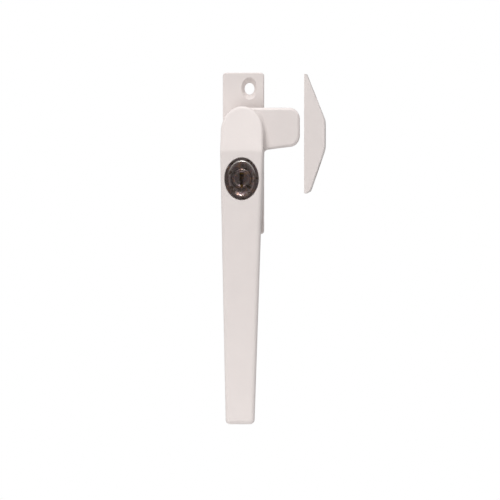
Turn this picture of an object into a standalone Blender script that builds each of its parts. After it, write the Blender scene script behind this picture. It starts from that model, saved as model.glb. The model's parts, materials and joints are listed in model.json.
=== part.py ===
"""Keyed window lock: base plate, pivoting cockspur lever, key cylinder and strike wedge.

Metres, Z up. The back of the base plate lies in the plane Y = 0 with its centre at the
origin. The room is on the -Y side, and the strike wedge stands on the +X side.
Outlines are lists of (x, z) points seen from the room, and solids are lofted along Y.
"""

import math

import bmesh
import bpy
from mathutils import Vector

# Base plate, on the sash
PLATE_WIDTH = 0.0165
PLATE_HEIGHT = 0.0648
PLATE_THICKNESS = 0.0032
PLATE_CORNER = 0.0013
PLATE_BEVEL = 0.0005
SCREW_HOLE_X = 0.0024
SCREW_HOLE_Z = 0.0260
COUNTERSINK = (0.00315, 0.0044)
SCREW_SLOT = (0.0020, 0.00235)
COUNTERSINK_FLOOR = -0.0014
CUT_OVER = 0.001
FLARE_OVER = 0.0001

# Pivot: the lever turns about the Y line through (0, PIVOT_Z)
PIVOT_Z = 0.0084
SWING = 90.0
HUB_RADIUS = 0.0065
HUB_FRONT = -0.0075
HUB_BORE = 0.0034
HUB_RECESS_RADIUS = 0.0056
HUB_RECESS_FLOOR = -0.0034
SPINDLE_RADIUS = 0.0025
SPINDLE_END = -0.0005
SPINDLE_TIP = -0.0130
SPINDLE_CHAMFER = 0.0003
SPLINE_COUNT = 12
SPLINE_RADIUS = 0.00022
RING_GROOVE = (-0.0009, -0.0016)
RING_GROOVE_RADIUS = 0.0020
RING_OUTER = 0.0043
RING_FACES = (-0.0010, -0.0015)
FLAT_WASHER_OUTER = 0.0052
FLAT_WASHER_FACES = (-0.0033, -0.0028)
WAVE_WASHER_OUTER = 0.0050
WAVE_WASHER_MIDDLE = -0.0022
WAVE_WASHER_HALF = 0.00013
WAVE_HEIGHT = 0.0003
WAVE_COUNT = 3.0
RUNNING_GAP = 0.00010
FIT_GAP = 0.00015

# Click stop and end stop, as angles from +Z towards -X
DETENT_RADIUS = 0.00485
DETENT_ANGLE = 45.0
BALL_RADIUS = 0.0010
BALL_RISE = 0.0004
BALL_POCKET_FLOOR = -0.0038
TRACK_DEPTH = 0.0004
DIMPLE_DEPTH = 0.0007
DETENT_COIL_START = -0.0041
DETENT_COIL_LENGTH = 0.0016
DETENT_COIL_TURNS = 3
DETENT_COIL_RADIUS = 0.00075
DETENT_WIRE = 0.00013
STOP_RADIUS = 0.0051
STOP_HALF_ANGLE = 11.0
STOP_CLEARANCE = 3.0
STOP_WELL_BACK = -0.0042
STOP_LUG_BACK = -0.0045

# Lever
BOSS_HALF_WIDTH = 0.0084
BOSS_HALF_HEIGHT = 0.0103
LEVER_END_Z = -0.1084
LEVER_CREASE_SIDES = (-0.0086, 0.0085)
LEVER_END_SIDES = (-0.0065, 0.0048)
LEVER_CORNER = 0.0017
BOSS_BEVEL = 0.0010
LEVER_BEVEL = 0.0016
LEVER_BACK = -0.0036
CREASE_Z = 0.0006
CREASE_Y = -0.0195
APEX_Y = -0.0150
LEVER_END_Y = -0.0170
SKIRT_END_Z = -0.0225
GRIP_START_Z = -0.0275
GRIP_BACK = -0.0110
GRIP_END_BACK = -0.0103
GRIP_WALL = 0.0020
GRIP_POCKET_FLOOR = -0.0140
GRIP_POCKET_COUNT = 4
GRIP_POCKET_MARGIN = 0.0030
GRIP_RIB = 0.0015
BOSS_RECESS_RADIUS = 0.0068
BOSS_RECESS_FLOOR = -0.0079
TONGUE_END_X = 0.0229
TONGUE_TOP_Z = 0.0181
TONGUE_ROOT_Z = 0.0012
TONGUE_LOW_Z = 0.0025
TONGUE_BACK = -0.0088
TONGUE_FRONT = -0.0138
TONGUE_CORNER = (0.0040, 0.0046)
TONGUE_BEVEL = 0.0012
ROOT_FILLET = 0.0020

# Key cylinder: the plug turns about the Y line through (0, LOCK_Z)
LOCK_Z = -0.0104
KEY_TURN = 90.0
FLANGE = (0.0067, 0.00835)
FLANGE_FRONT = -0.0194
FLANGE_BACK = -0.0179
FLANGE_DISH = (0.0053, 0.0066)
FLANGE_DISH_DEPTH = 0.0004
BARREL_RADIUS = 0.0054
BARREL_BACK = -0.0084
BARREL_SHOULDER = -0.0090
CLIP_GROOVE_RADIUS = 0.0049
CLIP_GROOVE = (-0.0093, -0.0087)
CLIP_OUTER = 0.0063
CLIP_HALF_THICKNESS = 0.0002
CLIP_OPENING = 110.0
RING_OPENING = 70.0
FLANGE_BEVEL = 0.0003
PLUG_RADIUS = 0.0040
PLUG_FRONT = -0.0189
TAIL_RADIUS = 0.0030
TAIL_GROOVE_RADIUS = 0.0025
TAIL_GROOVE = (-0.0082, -0.0077)
TAIL_END = -0.0074
CIRCLIP_OUTER = 0.0038
PLUG_CHAMFER = 0.0002
DRIVE_PIN_OFFSET = 0.00165
DRIVE_PIN_RADIUS = 0.00075
DRIVE_PIN_END = -0.0052
KEYWAY_HALF_WIDTH = 0.0005
KEYWAY_LOW = -0.0033
KEYWAY_HIGH = 0.0024
KEYWAY_END = -0.0101
WAFER_COUNT = 4
WAFER_FIRST_Y = -0.0171
WAFER_PITCH = 0.0018
WAFER_THICKNESS = 0.0005
WAFER_HALF_WIDTH = 0.00145
WAFER_HALF_HEIGHT = 0.0036
WAFER_EAR_X = 0.0030
WAFER_EAR = (0.0013, 0.0020)
WAFER_WINDOW = (0.00075, -0.0022, 0.0019)
SPRING_POCKET_X = 0.0024
SPRING_POCKET_HALF = 0.00062
SPRING_POCKET_Z = 0.0023
WAFER_COIL_RADIUS = 0.00038
WAFER_WIRE = 0.0001
WAFER_COIL_TURNS = 5

# Bolt chamber in the back of the lever
CHAMBER_HALF_WIDTH = 0.0066
CHAMBER_LOW_Z = -0.0170
CHAMBER_HIGH_Z = -0.0038
CHAMBER_FLOOR = -0.0094
COVER_HALF_WIDTH = 0.0065
COVER_LOW_Z = -0.0208
COVER_HIGH_Z = 0.0006
COVER_BACK = -0.0037
COVER_FRONT = -0.0045
COVER_SCREWS = ((-0.0045, -0.0014), (0.0045, -0.0014), (0.0, -0.0189))
COVER_HOLE = (0.0019, 0.0011)
COVER_SCREW_HEAD = 0.0016
COVER_SCREW_SHANK = 0.0008
COVER_SCREW_TIP = (0.0005, -0.0077)
COVER_SCREW_TAPER = -0.0073
COVER_SCREW_HOLE = (0.0010, -0.0080)
CROSS_SLOT = (0.0009, 0.0002)
CROSS_SLOT_DEPTH = 0.0006
BOLT_HALF_WIDTH = 0.0015
BOLT_YOKE_HALF_WIDTH = 0.0062
BOLT_BACK = -0.0050
BOLT_FRONT = -0.0070
BOLT_TIP_Z = 0.0016
BOLT_TIP_CHAMFER = 0.0004
BOLT_SLOT_GAP = 0.00013
BOLT_YOKE_Z = (-0.0138, -0.0092)
NOTCH_FLOOR = 0.00425
BOLT_TRAVEL = 2.0 * DRIVE_PIN_OFFSET * math.sin(math.radians(KEY_TURN / 2.0))

# Strike wedge, for the fixed frame
WEDGE_BACK_X = 0.0247
WEDGE_CREST_X = 0.0331
WEDGE_LOW_Z = -0.0161
WEDGE_HIGH_Z = 0.0316
WEDGE_CREST_Z = (0.0018, 0.0130)
WEDGE_CREST_EASE = (0.0006, 0.0012)
WEDGE_WIDTH = 0.0120
WEDGE_TOP_TOE = 0.0012
WEDGE_LOW_TOE = 0.0025
WEDGE_TOE_CUT = (0.0010, 0.0008)
WEDGE_BEVEL = 0.0009
WEDGE_SCREW_Z = (-0.0062, 0.0225)
WEDGE_SCREW_STEPS = ((0.0237, 0.0020), (0.0268, 0.0020), (0.0290, 0.0041), (0.0340, 0.0041))

FINE = 48
COARSE = 24


def clear_scene():
    """Remove every object of the open scene."""
    for old in list(bpy.data.objects):
        bpy.data.objects.remove(old, do_unlink=True)


def material(name, colour, roughness, metallic):
    """A Principled material with one colour."""
    made = bpy.data.materials.new(name)
    made.use_nodes = True
    shader = made.node_tree.nodes["Principled BSDF"]
    shader.inputs["Base Color"].default_value = (*colour, 1.0)
    shader.inputs["Roughness"].default_value = roughness
    shader.inputs["Metallic"].default_value = metallic
    return made


# Outlines, as lists of (x, z)

def arc(centre, radii, start, end, steps):
    """Points of an ellipse's arc, with angles in degrees from +X towards +Z."""
    points = []
    for step in range(steps + 1):
        angle = math.radians(start + (end - start) * step / steps)
        points.append((centre[0] + radii[0] * math.cos(angle), centre[1] + radii[1] * math.sin(angle)))
    return points


def oval(centre, radii, segments=FINE):
    """A whole ellipse."""
    return arc(centre, radii, 0.0, 360.0, segments)[:-1]


def disc(centre, radius, segments=FINE):
    """A whole circle."""
    return oval(centre, (radius, radius), segments)


def rectangle(x_low, x_high, z_low, z_high):
    """Four corners, anticlockwise."""
    return [(x_low, z_low), (x_high, z_low), (x_high, z_high), (x_low, z_high)]


def rounded_rectangle(x_half, z_half, radius, steps=5):
    """A rectangle about the origin with round corners."""
    points = []
    for start, right, top in ((0.0, 1, 1), (90.0, -1, 1), (180.0, -1, -1), (270.0, 1, -1)):
        centre = (right * (x_half - radius), top * (z_half - radius))
        points += arc(centre, (radius, radius), start, start + 90.0, steps)
    return points


def open_ring(centre, inner, outer, gap_at, gap, steps=36):
    """A ring with a gap of so many degrees, centred on the angle gap_at."""
    start = gap_at + gap / 2.0
    end = gap_at + 360.0 - gap / 2.0
    outside = arc(centre, (outer, outer), start, end, steps)
    return outside + arc(centre, (inner, inner), end, start, steps)


def around_pivot(radius, angle):
    """The point at a radius from the pivot, at an angle in degrees from +Z towards -X."""
    turn = math.radians(angle)
    return (-radius * math.sin(turn), PIVOT_Z + radius * math.cos(turn))


def pivot_sector(inner, outer, start, end, steps=18):
    """A ring sector about the pivot, between two angles from +Z towards -X."""
    angles = [start + (end - start) * step / steps for step in range(steps + 1)]
    outside = [around_pivot(outer, angle) for angle in angles]
    return outside + [around_pivot(inner, angle) for angle in reversed(angles)]


def inset(outline, distance):
    """The outline moved inwards, each corner along the mitre of its two sides."""
    count = len(outline)
    area = 0.0
    for index, (x, z) in enumerate(outline):
        area += outline[index - 1][0] * z - x * outline[index - 1][1]
    inwards = math.copysign(1.0, area)
    moved = []
    for index, point in enumerate(outline):
        here = Vector(point)
        before = (here - Vector(outline[index - 1])).normalized()
        after = (Vector(outline[(index + 1) % count]) - here).normalized()
        across = Vector((-before.y, before.x))
        mitre = (across + Vector((-after.y, after.x))).normalized()
        stretch = max(mitre.dot(across), 0.5)
        moved.append(tuple(here + mitre * inwards * distance / stretch))
    return moved


def at_depth(outline, depth):
    """The outline's points in space, at one depth Y."""
    return [(x, depth, z) for x, z in outline]


# Solids

def loft(rings, closed=False):
    """A closed solid through rings of equal point counts, capped or joined end to end."""
    shape = bmesh.new()
    loops = [[shape.verts.new(point) for point in ring] for ring in rings]
    pairs = list(zip(loops, loops[1:]))
    if closed:
        pairs.append((loops[-1], loops[0]))
    for near, far in pairs:
        for index in range(len(near)):
            after = (index + 1) % len(near)
            shape.faces.new((near[index], near[after], far[after], far[index]))
    if not closed:
        shape.faces.new(loops[0])
        shape.faces.new(loops[-1])
    bmesh.ops.recalc_face_normals(shape, faces=shape.faces)
    return shape


def prism(outline, back, front):
    """An outline drawn out along Y."""
    return loft([at_depth(outline, back), at_depth(outline, front)])


def prism_along_x(outline, x_low, x_high):
    """A list of (y, z) points drawn out along X."""
    return loft([[(x, y, z) for y, z in outline] for x in (x_low, x_high)])


def turned(centre, profile, segments=FINE):
    """A solid of (radius, y) steps turned about a Y line through centre."""
    return loft([at_depth(disc(centre, radius, segments), y) for radius, y in profile])


def tube(centre, inner, outer, back, front, segments=FINE):
    """A plain ring with square edges."""
    profile = ((outer, back), (outer, front), (inner, front), (inner, back))
    return loft([at_depth(disc(centre, radius, segments), y) for radius, y in profile], closed=True)


def bevelled_prism(outline, back, front, bevel, steps=3):
    """A prism whose front edge is rounded with a quarter circle."""
    rings = [at_depth(outline, back)]
    for step in range(steps + 1):
        angle = math.radians(90.0 * step / steps)
        lift = bevel * (1.0 - math.sin(angle))
        rings.append(at_depth(inset(outline, bevel * (1.0 - math.cos(angle))), front + lift))
    return loft(rings)


def coil(start, direction, side, radius, wire, length, turns, steps=10, sides=5):
    """A helical wire from start along direction, with side as the first radial direction."""
    along = Vector(direction)
    across = Vector(side)
    third = along.cross(across)
    rise = length / (turns * steps)
    rings = []
    for step in range(turns * steps + 1):
        angle = math.tau * step / steps
        outward = across * math.cos(angle) + third * math.sin(angle)
        sideways = third * math.cos(angle) - across * math.sin(angle)
        forward = sideways * math.tau * radius / steps + along * rise
        upward = forward.normalized().cross(outward)
        middle = Vector(start) + outward * radius + along * rise * step
        section = []
        for corner in range(sides):
            turn = math.tau * corner / sides
            section.append(middle + (outward * math.cos(turn) + upward * math.sin(turn)) * wire)
        rings.append(section)
    return loft(rings)


def add_object(name, shape):
    """Make an object from a bmesh."""
    mesh = bpy.data.meshes.new(name)
    shape.to_mesh(mesh)
    shape.free()
    made = bpy.data.objects.new(name, mesh)
    bpy.context.scene.collection.objects.link(made)
    return made


def combine(target, shape, operation):
    """Apply one exact Boolean of the shape to the target's mesh."""
    tool = add_object("tool", shape)
    step = target.modifiers.new("combine", "BOOLEAN")
    step.operation = operation
    step.solver = "EXACT"
    step.object = tool
    bpy.context.view_layer.update()
    evaluated = target.evaluated_get(bpy.context.evaluated_depsgraph_get())
    result = bpy.data.meshes.new_from_object(evaluated)
    target.modifiers.clear()
    target.data = result
    bpy.data.objects.remove(tool, do_unlink=True)


def cut(target, shape):
    """Take the shape away from the target."""
    combine(target, shape, "DIFFERENCE")


def join(target, shape):
    """Add the shape to the target."""
    combine(target, shape, "UNION")


def finish(made, skin, parent=None):
    """Give a node its material, smooth shading and the empty that it moves with."""
    made.data.materials.clear()
    made.data.materials.append(skin)
    made.data.shade_smooth()
    made.data.set_sharp_from_angle(angle=math.radians(35.0))
    if parent is not None:
        made.parent = parent
        made.matrix_parent_inverse = parent.matrix_world.inverted()
    return made


def axis_empty(name, place):
    """An empty on a joint's axis."""
    made = bpy.data.objects.new(name, None)
    made.location = place
    bpy.context.scene.collection.objects.link(made)
    bpy.context.view_layer.update()
    return made


# Base plate and the parts that stay with it

def screw_hole(centre):
    """Cutter for an oval countersunk hole through the plate."""
    flare = tuple(size + FLARE_OVER for size in COUNTERSINK)
    return loft([
        at_depth(oval(centre, flare), -PLATE_THICKNESS - FLARE_OVER),
        at_depth(oval(centre, SCREW_SLOT), COUNTERSINK_FLOOR),
        at_depth(oval(centre, SCREW_SLOT), CUT_OVER),
    ])


def base_plate(skin):
    """Plate with its two screw holes and the notched hub that carries the lever."""
    outline = rounded_rectangle(PLATE_WIDTH / 2.0, PLATE_HEIGHT / 2.0, PLATE_CORNER)
    plate = add_object("base_plate", bevelled_prism(outline, 0.0, -PLATE_THICKNESS, PLATE_BEVEL))
    pivot = (0.0, PIVOT_Z)
    join(plate, turned(pivot, ((HUB_RADIUS, -PLATE_THICKNESS / 2.0), (HUB_RADIUS, HUB_FRONT))))
    open_front = HUB_FRONT - CUT_OVER
    outside = HUB_RADIUS + CUT_OVER
    stop_side = STOP_HALF_ANGLE + STOP_CLEARANCE
    stop_well = pivot_sector(STOP_RADIUS, outside, stop_side, -SWING - stop_side)
    cut(plate, prism(stop_well, STOP_WELL_BACK, open_front))
    half = BOLT_HALF_WIDTH + FIT_GAP
    notch_back = BOLT_BACK + 2.0 * FIT_GAP
    low_notch = rectangle(-half, half, PIVOT_Z - outside, PIVOT_Z - NOTCH_FLOOR)
    side_notch = rectangle(-outside, -NOTCH_FLOOR, PIVOT_Z - half, PIVOT_Z + half)
    for notch in (low_notch, side_notch):
        cut(plate, prism(notch, notch_back, open_front))
    pocket = disc(around_pivot(DETENT_RADIUS, DETENT_ANGLE), BALL_RADIUS + RUNNING_GAP, COARSE)
    cut(plate, prism(pocket, BALL_POCKET_FLOOR, open_front))
    cut(plate, prism(disc(pivot, HUB_BORE), CUT_OVER, open_front))
    cut(plate, prism(disc(pivot, HUB_RECESS_RADIUS), CUT_OVER, HUB_RECESS_FLOOR))
    cut(plate, screw_hole((SCREW_HOLE_X, SCREW_HOLE_Z)))
    cut(plate, screw_hole((-SCREW_HOLE_X, -SCREW_HOLE_Z)))
    finish(plate, skin)


def detent_parts(steel):
    """Ball and spring of the click stop, in their pocket in the hub's face."""
    x, z = around_pivot(DETENT_RADIUS, DETENT_ANGLE)
    ball_y = HUB_FRONT + BALL_RISE
    profile = []
    for step in range(1, 12):
        angle = math.radians(15.0 * step)
        profile.append((BALL_RADIUS * math.sin(angle), ball_y + BALL_RADIUS * math.cos(angle)))
    finish(add_object("detent_ball", turned((x, z), profile, COARSE)), steel)
    start = (x, DETENT_COIL_START, z)
    size = (DETENT_COIL_RADIUS, DETENT_WIRE, DETENT_COIL_LENGTH, DETENT_COIL_TURNS)
    finish(add_object("detent_spring", coil(start, (0, -1, 0), (1, 0, 0), *size)), steel)


def spindle_stack(steel, nylon):
    """Bush, washers behind the plate, and the wave washer that gives the lever its drag."""
    pivot = (0.0, PIVOT_Z)
    inner = SPINDLE_RADIUS + RUNNING_GAP
    bush = tube(pivot, inner, HUB_BORE - RUNNING_GAP, HUB_RECESS_FLOOR - RUNNING_GAP, HUB_FRONT)
    finish(add_object("spindle_bush", bush), nylon)
    flat = tube(pivot, inner, FLAT_WASHER_OUTER, *FLAT_WASHER_FACES)
    finish(add_object("flat_washer", flat), steel)
    near = inner + RUNNING_GAP
    far = WAVE_WASHER_OUTER
    half = WAVE_WASHER_HALF
    rings = []
    for step in range(FINE):
        angle = math.tau * step / FINE
        middle = WAVE_WASHER_MIDDLE + WAVE_HEIGHT * math.cos(WAVE_COUNT * angle)
        ring = []
        for radius, lift in ((near, half), (far, half), (far, -half), (near, -half)):
            x = radius * math.cos(angle)
            ring.append((x, middle + lift, PIVOT_Z + radius * math.sin(angle)))
        rings.append(ring)
    finish(add_object("wave_washer", loft(rings, closed=True)), steel)


# Lever

def front_depth(z):
    """Depth of the lever's front face: it falls away above and below the crease."""
    if z > CREASE_Z:
        share = (z - CREASE_Z) / (PIVOT_Z + BOSS_HALF_HEIGHT - CREASE_Z)
        return CREASE_Y + share * (APEX_Y - CREASE_Y)
    share = (CREASE_Z - z) / (CREASE_Z - LEVER_END_Z)
    return CREASE_Y + share * (LEVER_END_Y - CREASE_Y)


def lever_side(side, z):
    """X of the lever's left (-1) or right (+1) side at a height below the crease."""
    index = max(side, 0)
    share = (CREASE_Z - z) / (CREASE_Z - LEVER_END_Z)
    at_crease = LEVER_CREASE_SIDES[index]
    return at_crease + share * (LEVER_END_SIDES[index] - at_crease)


def lever_bevel(z):
    """Size of the front's rounded edge at a height: small round the boss, larger below it."""
    share = min(max((CREASE_Z - z) / (CREASE_Z - SKIRT_END_Z), 0.0), 1.0)
    return BOSS_BEVEL + share * (LEVER_BEVEL - BOSS_BEVEL)


def lever_outline():
    """Boss dome, tapering sides with a point at the crease, and the round-cornered end."""
    dome = arc((0.0, PIVOT_Z), (BOSS_HALF_WIDTH, BOSS_HALF_HEIGHT), 0.0, 180.0, FINE // 2)
    corner = (LEVER_CORNER, LEVER_CORNER)
    low = LEVER_END_Z + LEVER_CORNER
    heights = (CREASE_Z, SKIRT_END_Z)
    left_centre = (lever_side(-1, low) + LEVER_CORNER, low)
    right_centre = (lever_side(1, low) - LEVER_CORNER, low)
    left = [(lever_side(-1, z), z) for z in heights] + arc(left_centre, corner, 180.0, 270.0, 5)
    right = arc(right_centre, corner, 270.0, 360.0, 5)
    return dome + left + right + [(lever_side(1, z), z) for z in reversed(heights)]


def lever_blank(steps=4):
    """The lever before its hollows: a rounded front that folds at the crease."""
    outline = lever_outline()
    mitres = inset(outline, 1.0)
    rings = [at_depth(outline, LEVER_BACK)]
    for step in range(steps + 1):
        angle = math.radians(90.0 * step / steps)
        ring = []
        for (x, z), (inner_x, inner_z) in zip(outline, mitres):
            bevel = lever_bevel(z)
            inwards = bevel * (1.0 - math.cos(angle))
            new_x = x + inwards * (inner_x - x)
            new_z = z + inwards * (inner_z - z)
            ring.append((new_x, front_depth(new_z) + bevel * (1.0 - math.sin(angle)), new_z))
        rings.append(ring)
    shape = loft(rings)
    shape.faces.ensure_lookup_table()
    face = shape.faces[-1]
    by_crease = sorted(face.verts, key=lambda vert: abs(vert.co.z - CREASE_Z))
    left = next(vert for vert in by_crease if vert.co.x < 0.0)
    right = next(vert for vert in by_crease if vert.co.x > 0.0)
    bmesh.utils.face_split(face, left, right)
    return shape


def tongue():
    """The cockspur: a flat nose to the right of the boss with a rounded end."""
    top = (TONGUE_END_X - TONGUE_CORNER[0], TONGUE_TOP_Z - TONGUE_CORNER[1])
    low = (TONGUE_END_X - TONGUE_CORNER[0], TONGUE_LOW_Z + TONGUE_CORNER[1])
    root_z = TONGUE_ROOT_Z - ROOT_FILLET
    side = lever_side(1, root_z)
    outline = [(0.0, root_z)]
    outline += arc((side + ROOT_FILLET, root_z), (ROOT_FILLET, ROOT_FILLET), 180.0, 92.0, 5)
    outline += arc(low, TONGUE_CORNER, -88.0, 0.0, 6)
    outline += arc(top, TONGUE_CORNER, 0.0, 90.0, 6)
    outline += [(0.0, TONGUE_TOP_Z)]
    return bevelled_prism(outline, TONGUE_BACK, TONGUE_FRONT, TONGUE_BEVEL)


def grip_pockets():
    """Cutters for the row of hollows in the grip's back, with a rib between neighbours."""
    top = GRIP_START_Z - GRIP_POCKET_MARGIN
    pitch = (top - LEVER_END_Z - GRIP_POCKET_MARGIN) / GRIP_POCKET_COUNT
    shapes = []
    for index in range(GRIP_POCKET_COUNT):
        high = top - pitch * index
        low = high - pitch + GRIP_RIB
        outline = [
            (lever_side(-1, low) + GRIP_WALL, low),
            (lever_side(1, low) - GRIP_WALL, low),
            (lever_side(1, high) - GRIP_WALL, high),
            (lever_side(-1, high) + GRIP_WALL, high),
        ]
        shapes.append(prism(outline, 0.0, GRIP_POCKET_FLOOR))
    return shapes


def cut_boss_recess(lever):
    """Round recess over the hub: click-stop track, end-stop lug and spindle socket."""
    pivot = (0.0, PIVOT_Z)
    cut(lever, prism(disc(pivot, BOSS_RECESS_RADIUS), 0.0, BOSS_RECESS_FLOOR))
    inner = DETENT_RADIUS - BALL_RADIUS + FIT_GAP
    outer = DETENT_RADIUS + BALL_RADIUS - FIT_GAP
    track = pivot_sector(inner, outer, DETENT_ANGLE, DETENT_ANGLE + SWING)
    behind = BOSS_RECESS_FLOOR + CUT_OVER
    cut(lever, prism(track, behind, BOSS_RECESS_FLOOR - TRACK_DEPTH))
    for angle in (DETENT_ANGLE, DETENT_ANGLE + SWING):
        dimple = disc(around_pivot(DETENT_RADIUS, angle), BALL_RADIUS, COARSE)
        cut(lever, prism(dimple, behind, BOSS_RECESS_FLOOR - DIMPLE_DEPTH))
    lug_outer = BOSS_RECESS_RADIUS + 2.0 * FIT_GAP
    lug = pivot_sector(STOP_RADIUS + 2.0 * FIT_GAP, lug_outer, STOP_HALF_ANGLE, -STOP_HALF_ANGLE, 4)
    join(lever, prism(lug, STOP_LUG_BACK, BOSS_RECESS_FLOOR - FIT_GAP))
    cut(lever, prism(disc(pivot, SPINDLE_RADIUS + FIT_GAP), 0.0, SPINDLE_TIP - 2.0 * FIT_GAP))


def cut_lock_chamber(lever):
    """The cylinder's seat in front, and the bolt's chamber and channel behind its cover."""
    lock = (0.0, LOCK_Z)
    seat = tuple(size + FIT_GAP for size in FLANGE)
    cut(lever, prism(oval(lock, seat), FLANGE_BACK + FIT_GAP, CREASE_Y - CUT_OVER))
    cut(lever, prism(disc(lock, BARREL_RADIUS + FIT_GAP), 0.0, CREASE_Y - CUT_OVER))
    half = CHAMBER_HALF_WIDTH
    cut(lever, prism(rectangle(-half, half, CHAMBER_LOW_Z, CHAMBER_HIGH_Z), 0.0, CHAMBER_FLOOR))
    half = BOLT_HALF_WIDTH + FIT_GAP
    recess_low = PIVOT_Z - BOSS_RECESS_RADIUS
    channel = rectangle(-half, half, CHAMBER_HIGH_Z - CUT_OVER, recess_low + CUT_OVER)
    cut(lever, prism(channel, 0.0, BOLT_FRONT - FIT_GAP))
    half = COVER_HALF_WIDTH + FIT_GAP
    rebate = rectangle(-half, half, COVER_LOW_Z - FIT_GAP, COVER_HIGH_Z + FIT_GAP)
    cut(lever, prism(rebate, 0.0, COVER_FRONT - RUNNING_GAP))
    radius, floor = COVER_SCREW_HOLE
    for place in COVER_SCREWS:
        cut(lever, prism(disc(place, radius, COARSE), 0.0, floor))


def handle_lever(skin, parent):
    """One casting: boss, tongue, lock housing and grip."""
    lever = add_object("handle_lever", lever_blank())
    join(lever, tongue())
    beyond = LEVER_END_Z - CUT_OVER
    clearance = [
        (CUT_OVER, SKIRT_END_Z),
        (LEVER_BACK, SKIRT_END_Z),
        (GRIP_BACK, GRIP_START_Z),
        (GRIP_END_BACK, beyond),
        (CUT_OVER, beyond),
    ]
    reach = BOSS_HALF_WIDTH + CUT_OVER
    cut(lever, prism_along_x(clearance, -reach, reach))
    for pocket in grip_pockets():
        cut(lever, pocket)
    cut_boss_recess(lever)
    cut_lock_chamber(lever)
    finish(lever, skin, parent)


def spindle_parts(steel, parent):
    """Spindle with a splined head pressed into the boss, and the ring that retains it."""
    pivot = (0.0, PIVOT_Z)
    groove_back, groove_front = RING_GROOVE
    profile = (
        (SPINDLE_RADIUS - SPINDLE_CHAMFER, SPINDLE_END),
        (SPINDLE_RADIUS, SPINDLE_END - SPINDLE_CHAMFER),
        (SPINDLE_RADIUS, groove_back),
        (RING_GROOVE_RADIUS, groove_back),
        (RING_GROOVE_RADIUS, groove_front),
        (SPINDLE_RADIUS, groove_front),
        (SPINDLE_RADIUS, SPINDLE_TIP + SPINDLE_CHAMFER),
        (SPINDLE_RADIUS - SPINDLE_CHAMFER, SPINDLE_TIP),
    )
    spindle = add_object("pivot_spindle", turned(pivot, profile))
    for index in range(SPLINE_COUNT):
        place = around_pivot(SPINDLE_RADIUS + RUNNING_GAP, 360.0 * index / SPLINE_COUNT)
        spline = disc(place, SPLINE_RADIUS, 8)
        cut(spindle, prism(spline, BOSS_RECESS_FLOOR - CUT_OVER / 2.0, SPINDLE_TIP - CUT_OVER))
    finish(spindle, steel, parent)
    ring = open_ring(pivot, RING_GROOVE_RADIUS + RUNNING_GAP, RING_OUTER, 90.0, RING_OPENING)
    finish(add_object("retaining_ring", prism(ring, *RING_FACES)), steel, parent)


# Key cylinder

def lock_cylinder_body(skin, parent):
    """Oval flange with a shallow dish, barrel with its clip groove, and the plug's bore."""
    lock = (0.0, LOCK_Z)
    flange = bevelled_prism(oval(lock, FLANGE), FLANGE_BACK, FLANGE_FRONT, FLANGE_BEVEL)
    body = add_object("lock_cylinder_body", flange)
    barrel = (
        (BARREL_RADIUS, FLANGE_BACK - CUT_OVER / 2.0),
        (BARREL_RADIUS, CLIP_GROOVE[0]),
        (CLIP_GROOVE_RADIUS, CLIP_GROOVE[0]),
        (CLIP_GROOVE_RADIUS, CLIP_GROOVE[1]),
        (BARREL_RADIUS, CLIP_GROOVE[1]),
        (BARREL_RADIUS, BARREL_BACK),
    )
    join(body, turned(lock, barrel))
    ahead = FLANGE_FRONT - CUT_OVER
    cut(body, prism(oval(lock, FLANGE_DISH), FLANGE_FRONT + FLANGE_DISH_DEPTH, ahead))
    cut(body, prism(disc(lock, PLUG_RADIUS + RUNNING_GAP), BARREL_SHOULDER, ahead))
    cut(body, prism(disc(lock, TAIL_RADIUS + RUNNING_GAP), 0.0, ahead))
    finish(body, skin, parent)


def cylinder_clip(steel, parent):
    """Horseshoe clip behind the chamber's floor that keeps the cylinder in the lever."""
    inner = CLIP_GROOVE_RADIUS + RUNNING_GAP
    ring = open_ring((0.0, LOCK_Z), inner, CLIP_OUTER, 270.0, CLIP_OPENING)
    middle = sum(CLIP_GROOVE) / 2.0
    clip = prism(ring, middle + CLIP_HALF_THICKNESS, middle - CLIP_HALF_THICKNESS)
    finish(add_object("cylinder_clip", clip), steel, parent)


def wafer_depth(index):
    """Depth of one wafer's middle plane."""
    return WAFER_FIRST_Y + WAFER_PITCH * index


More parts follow.
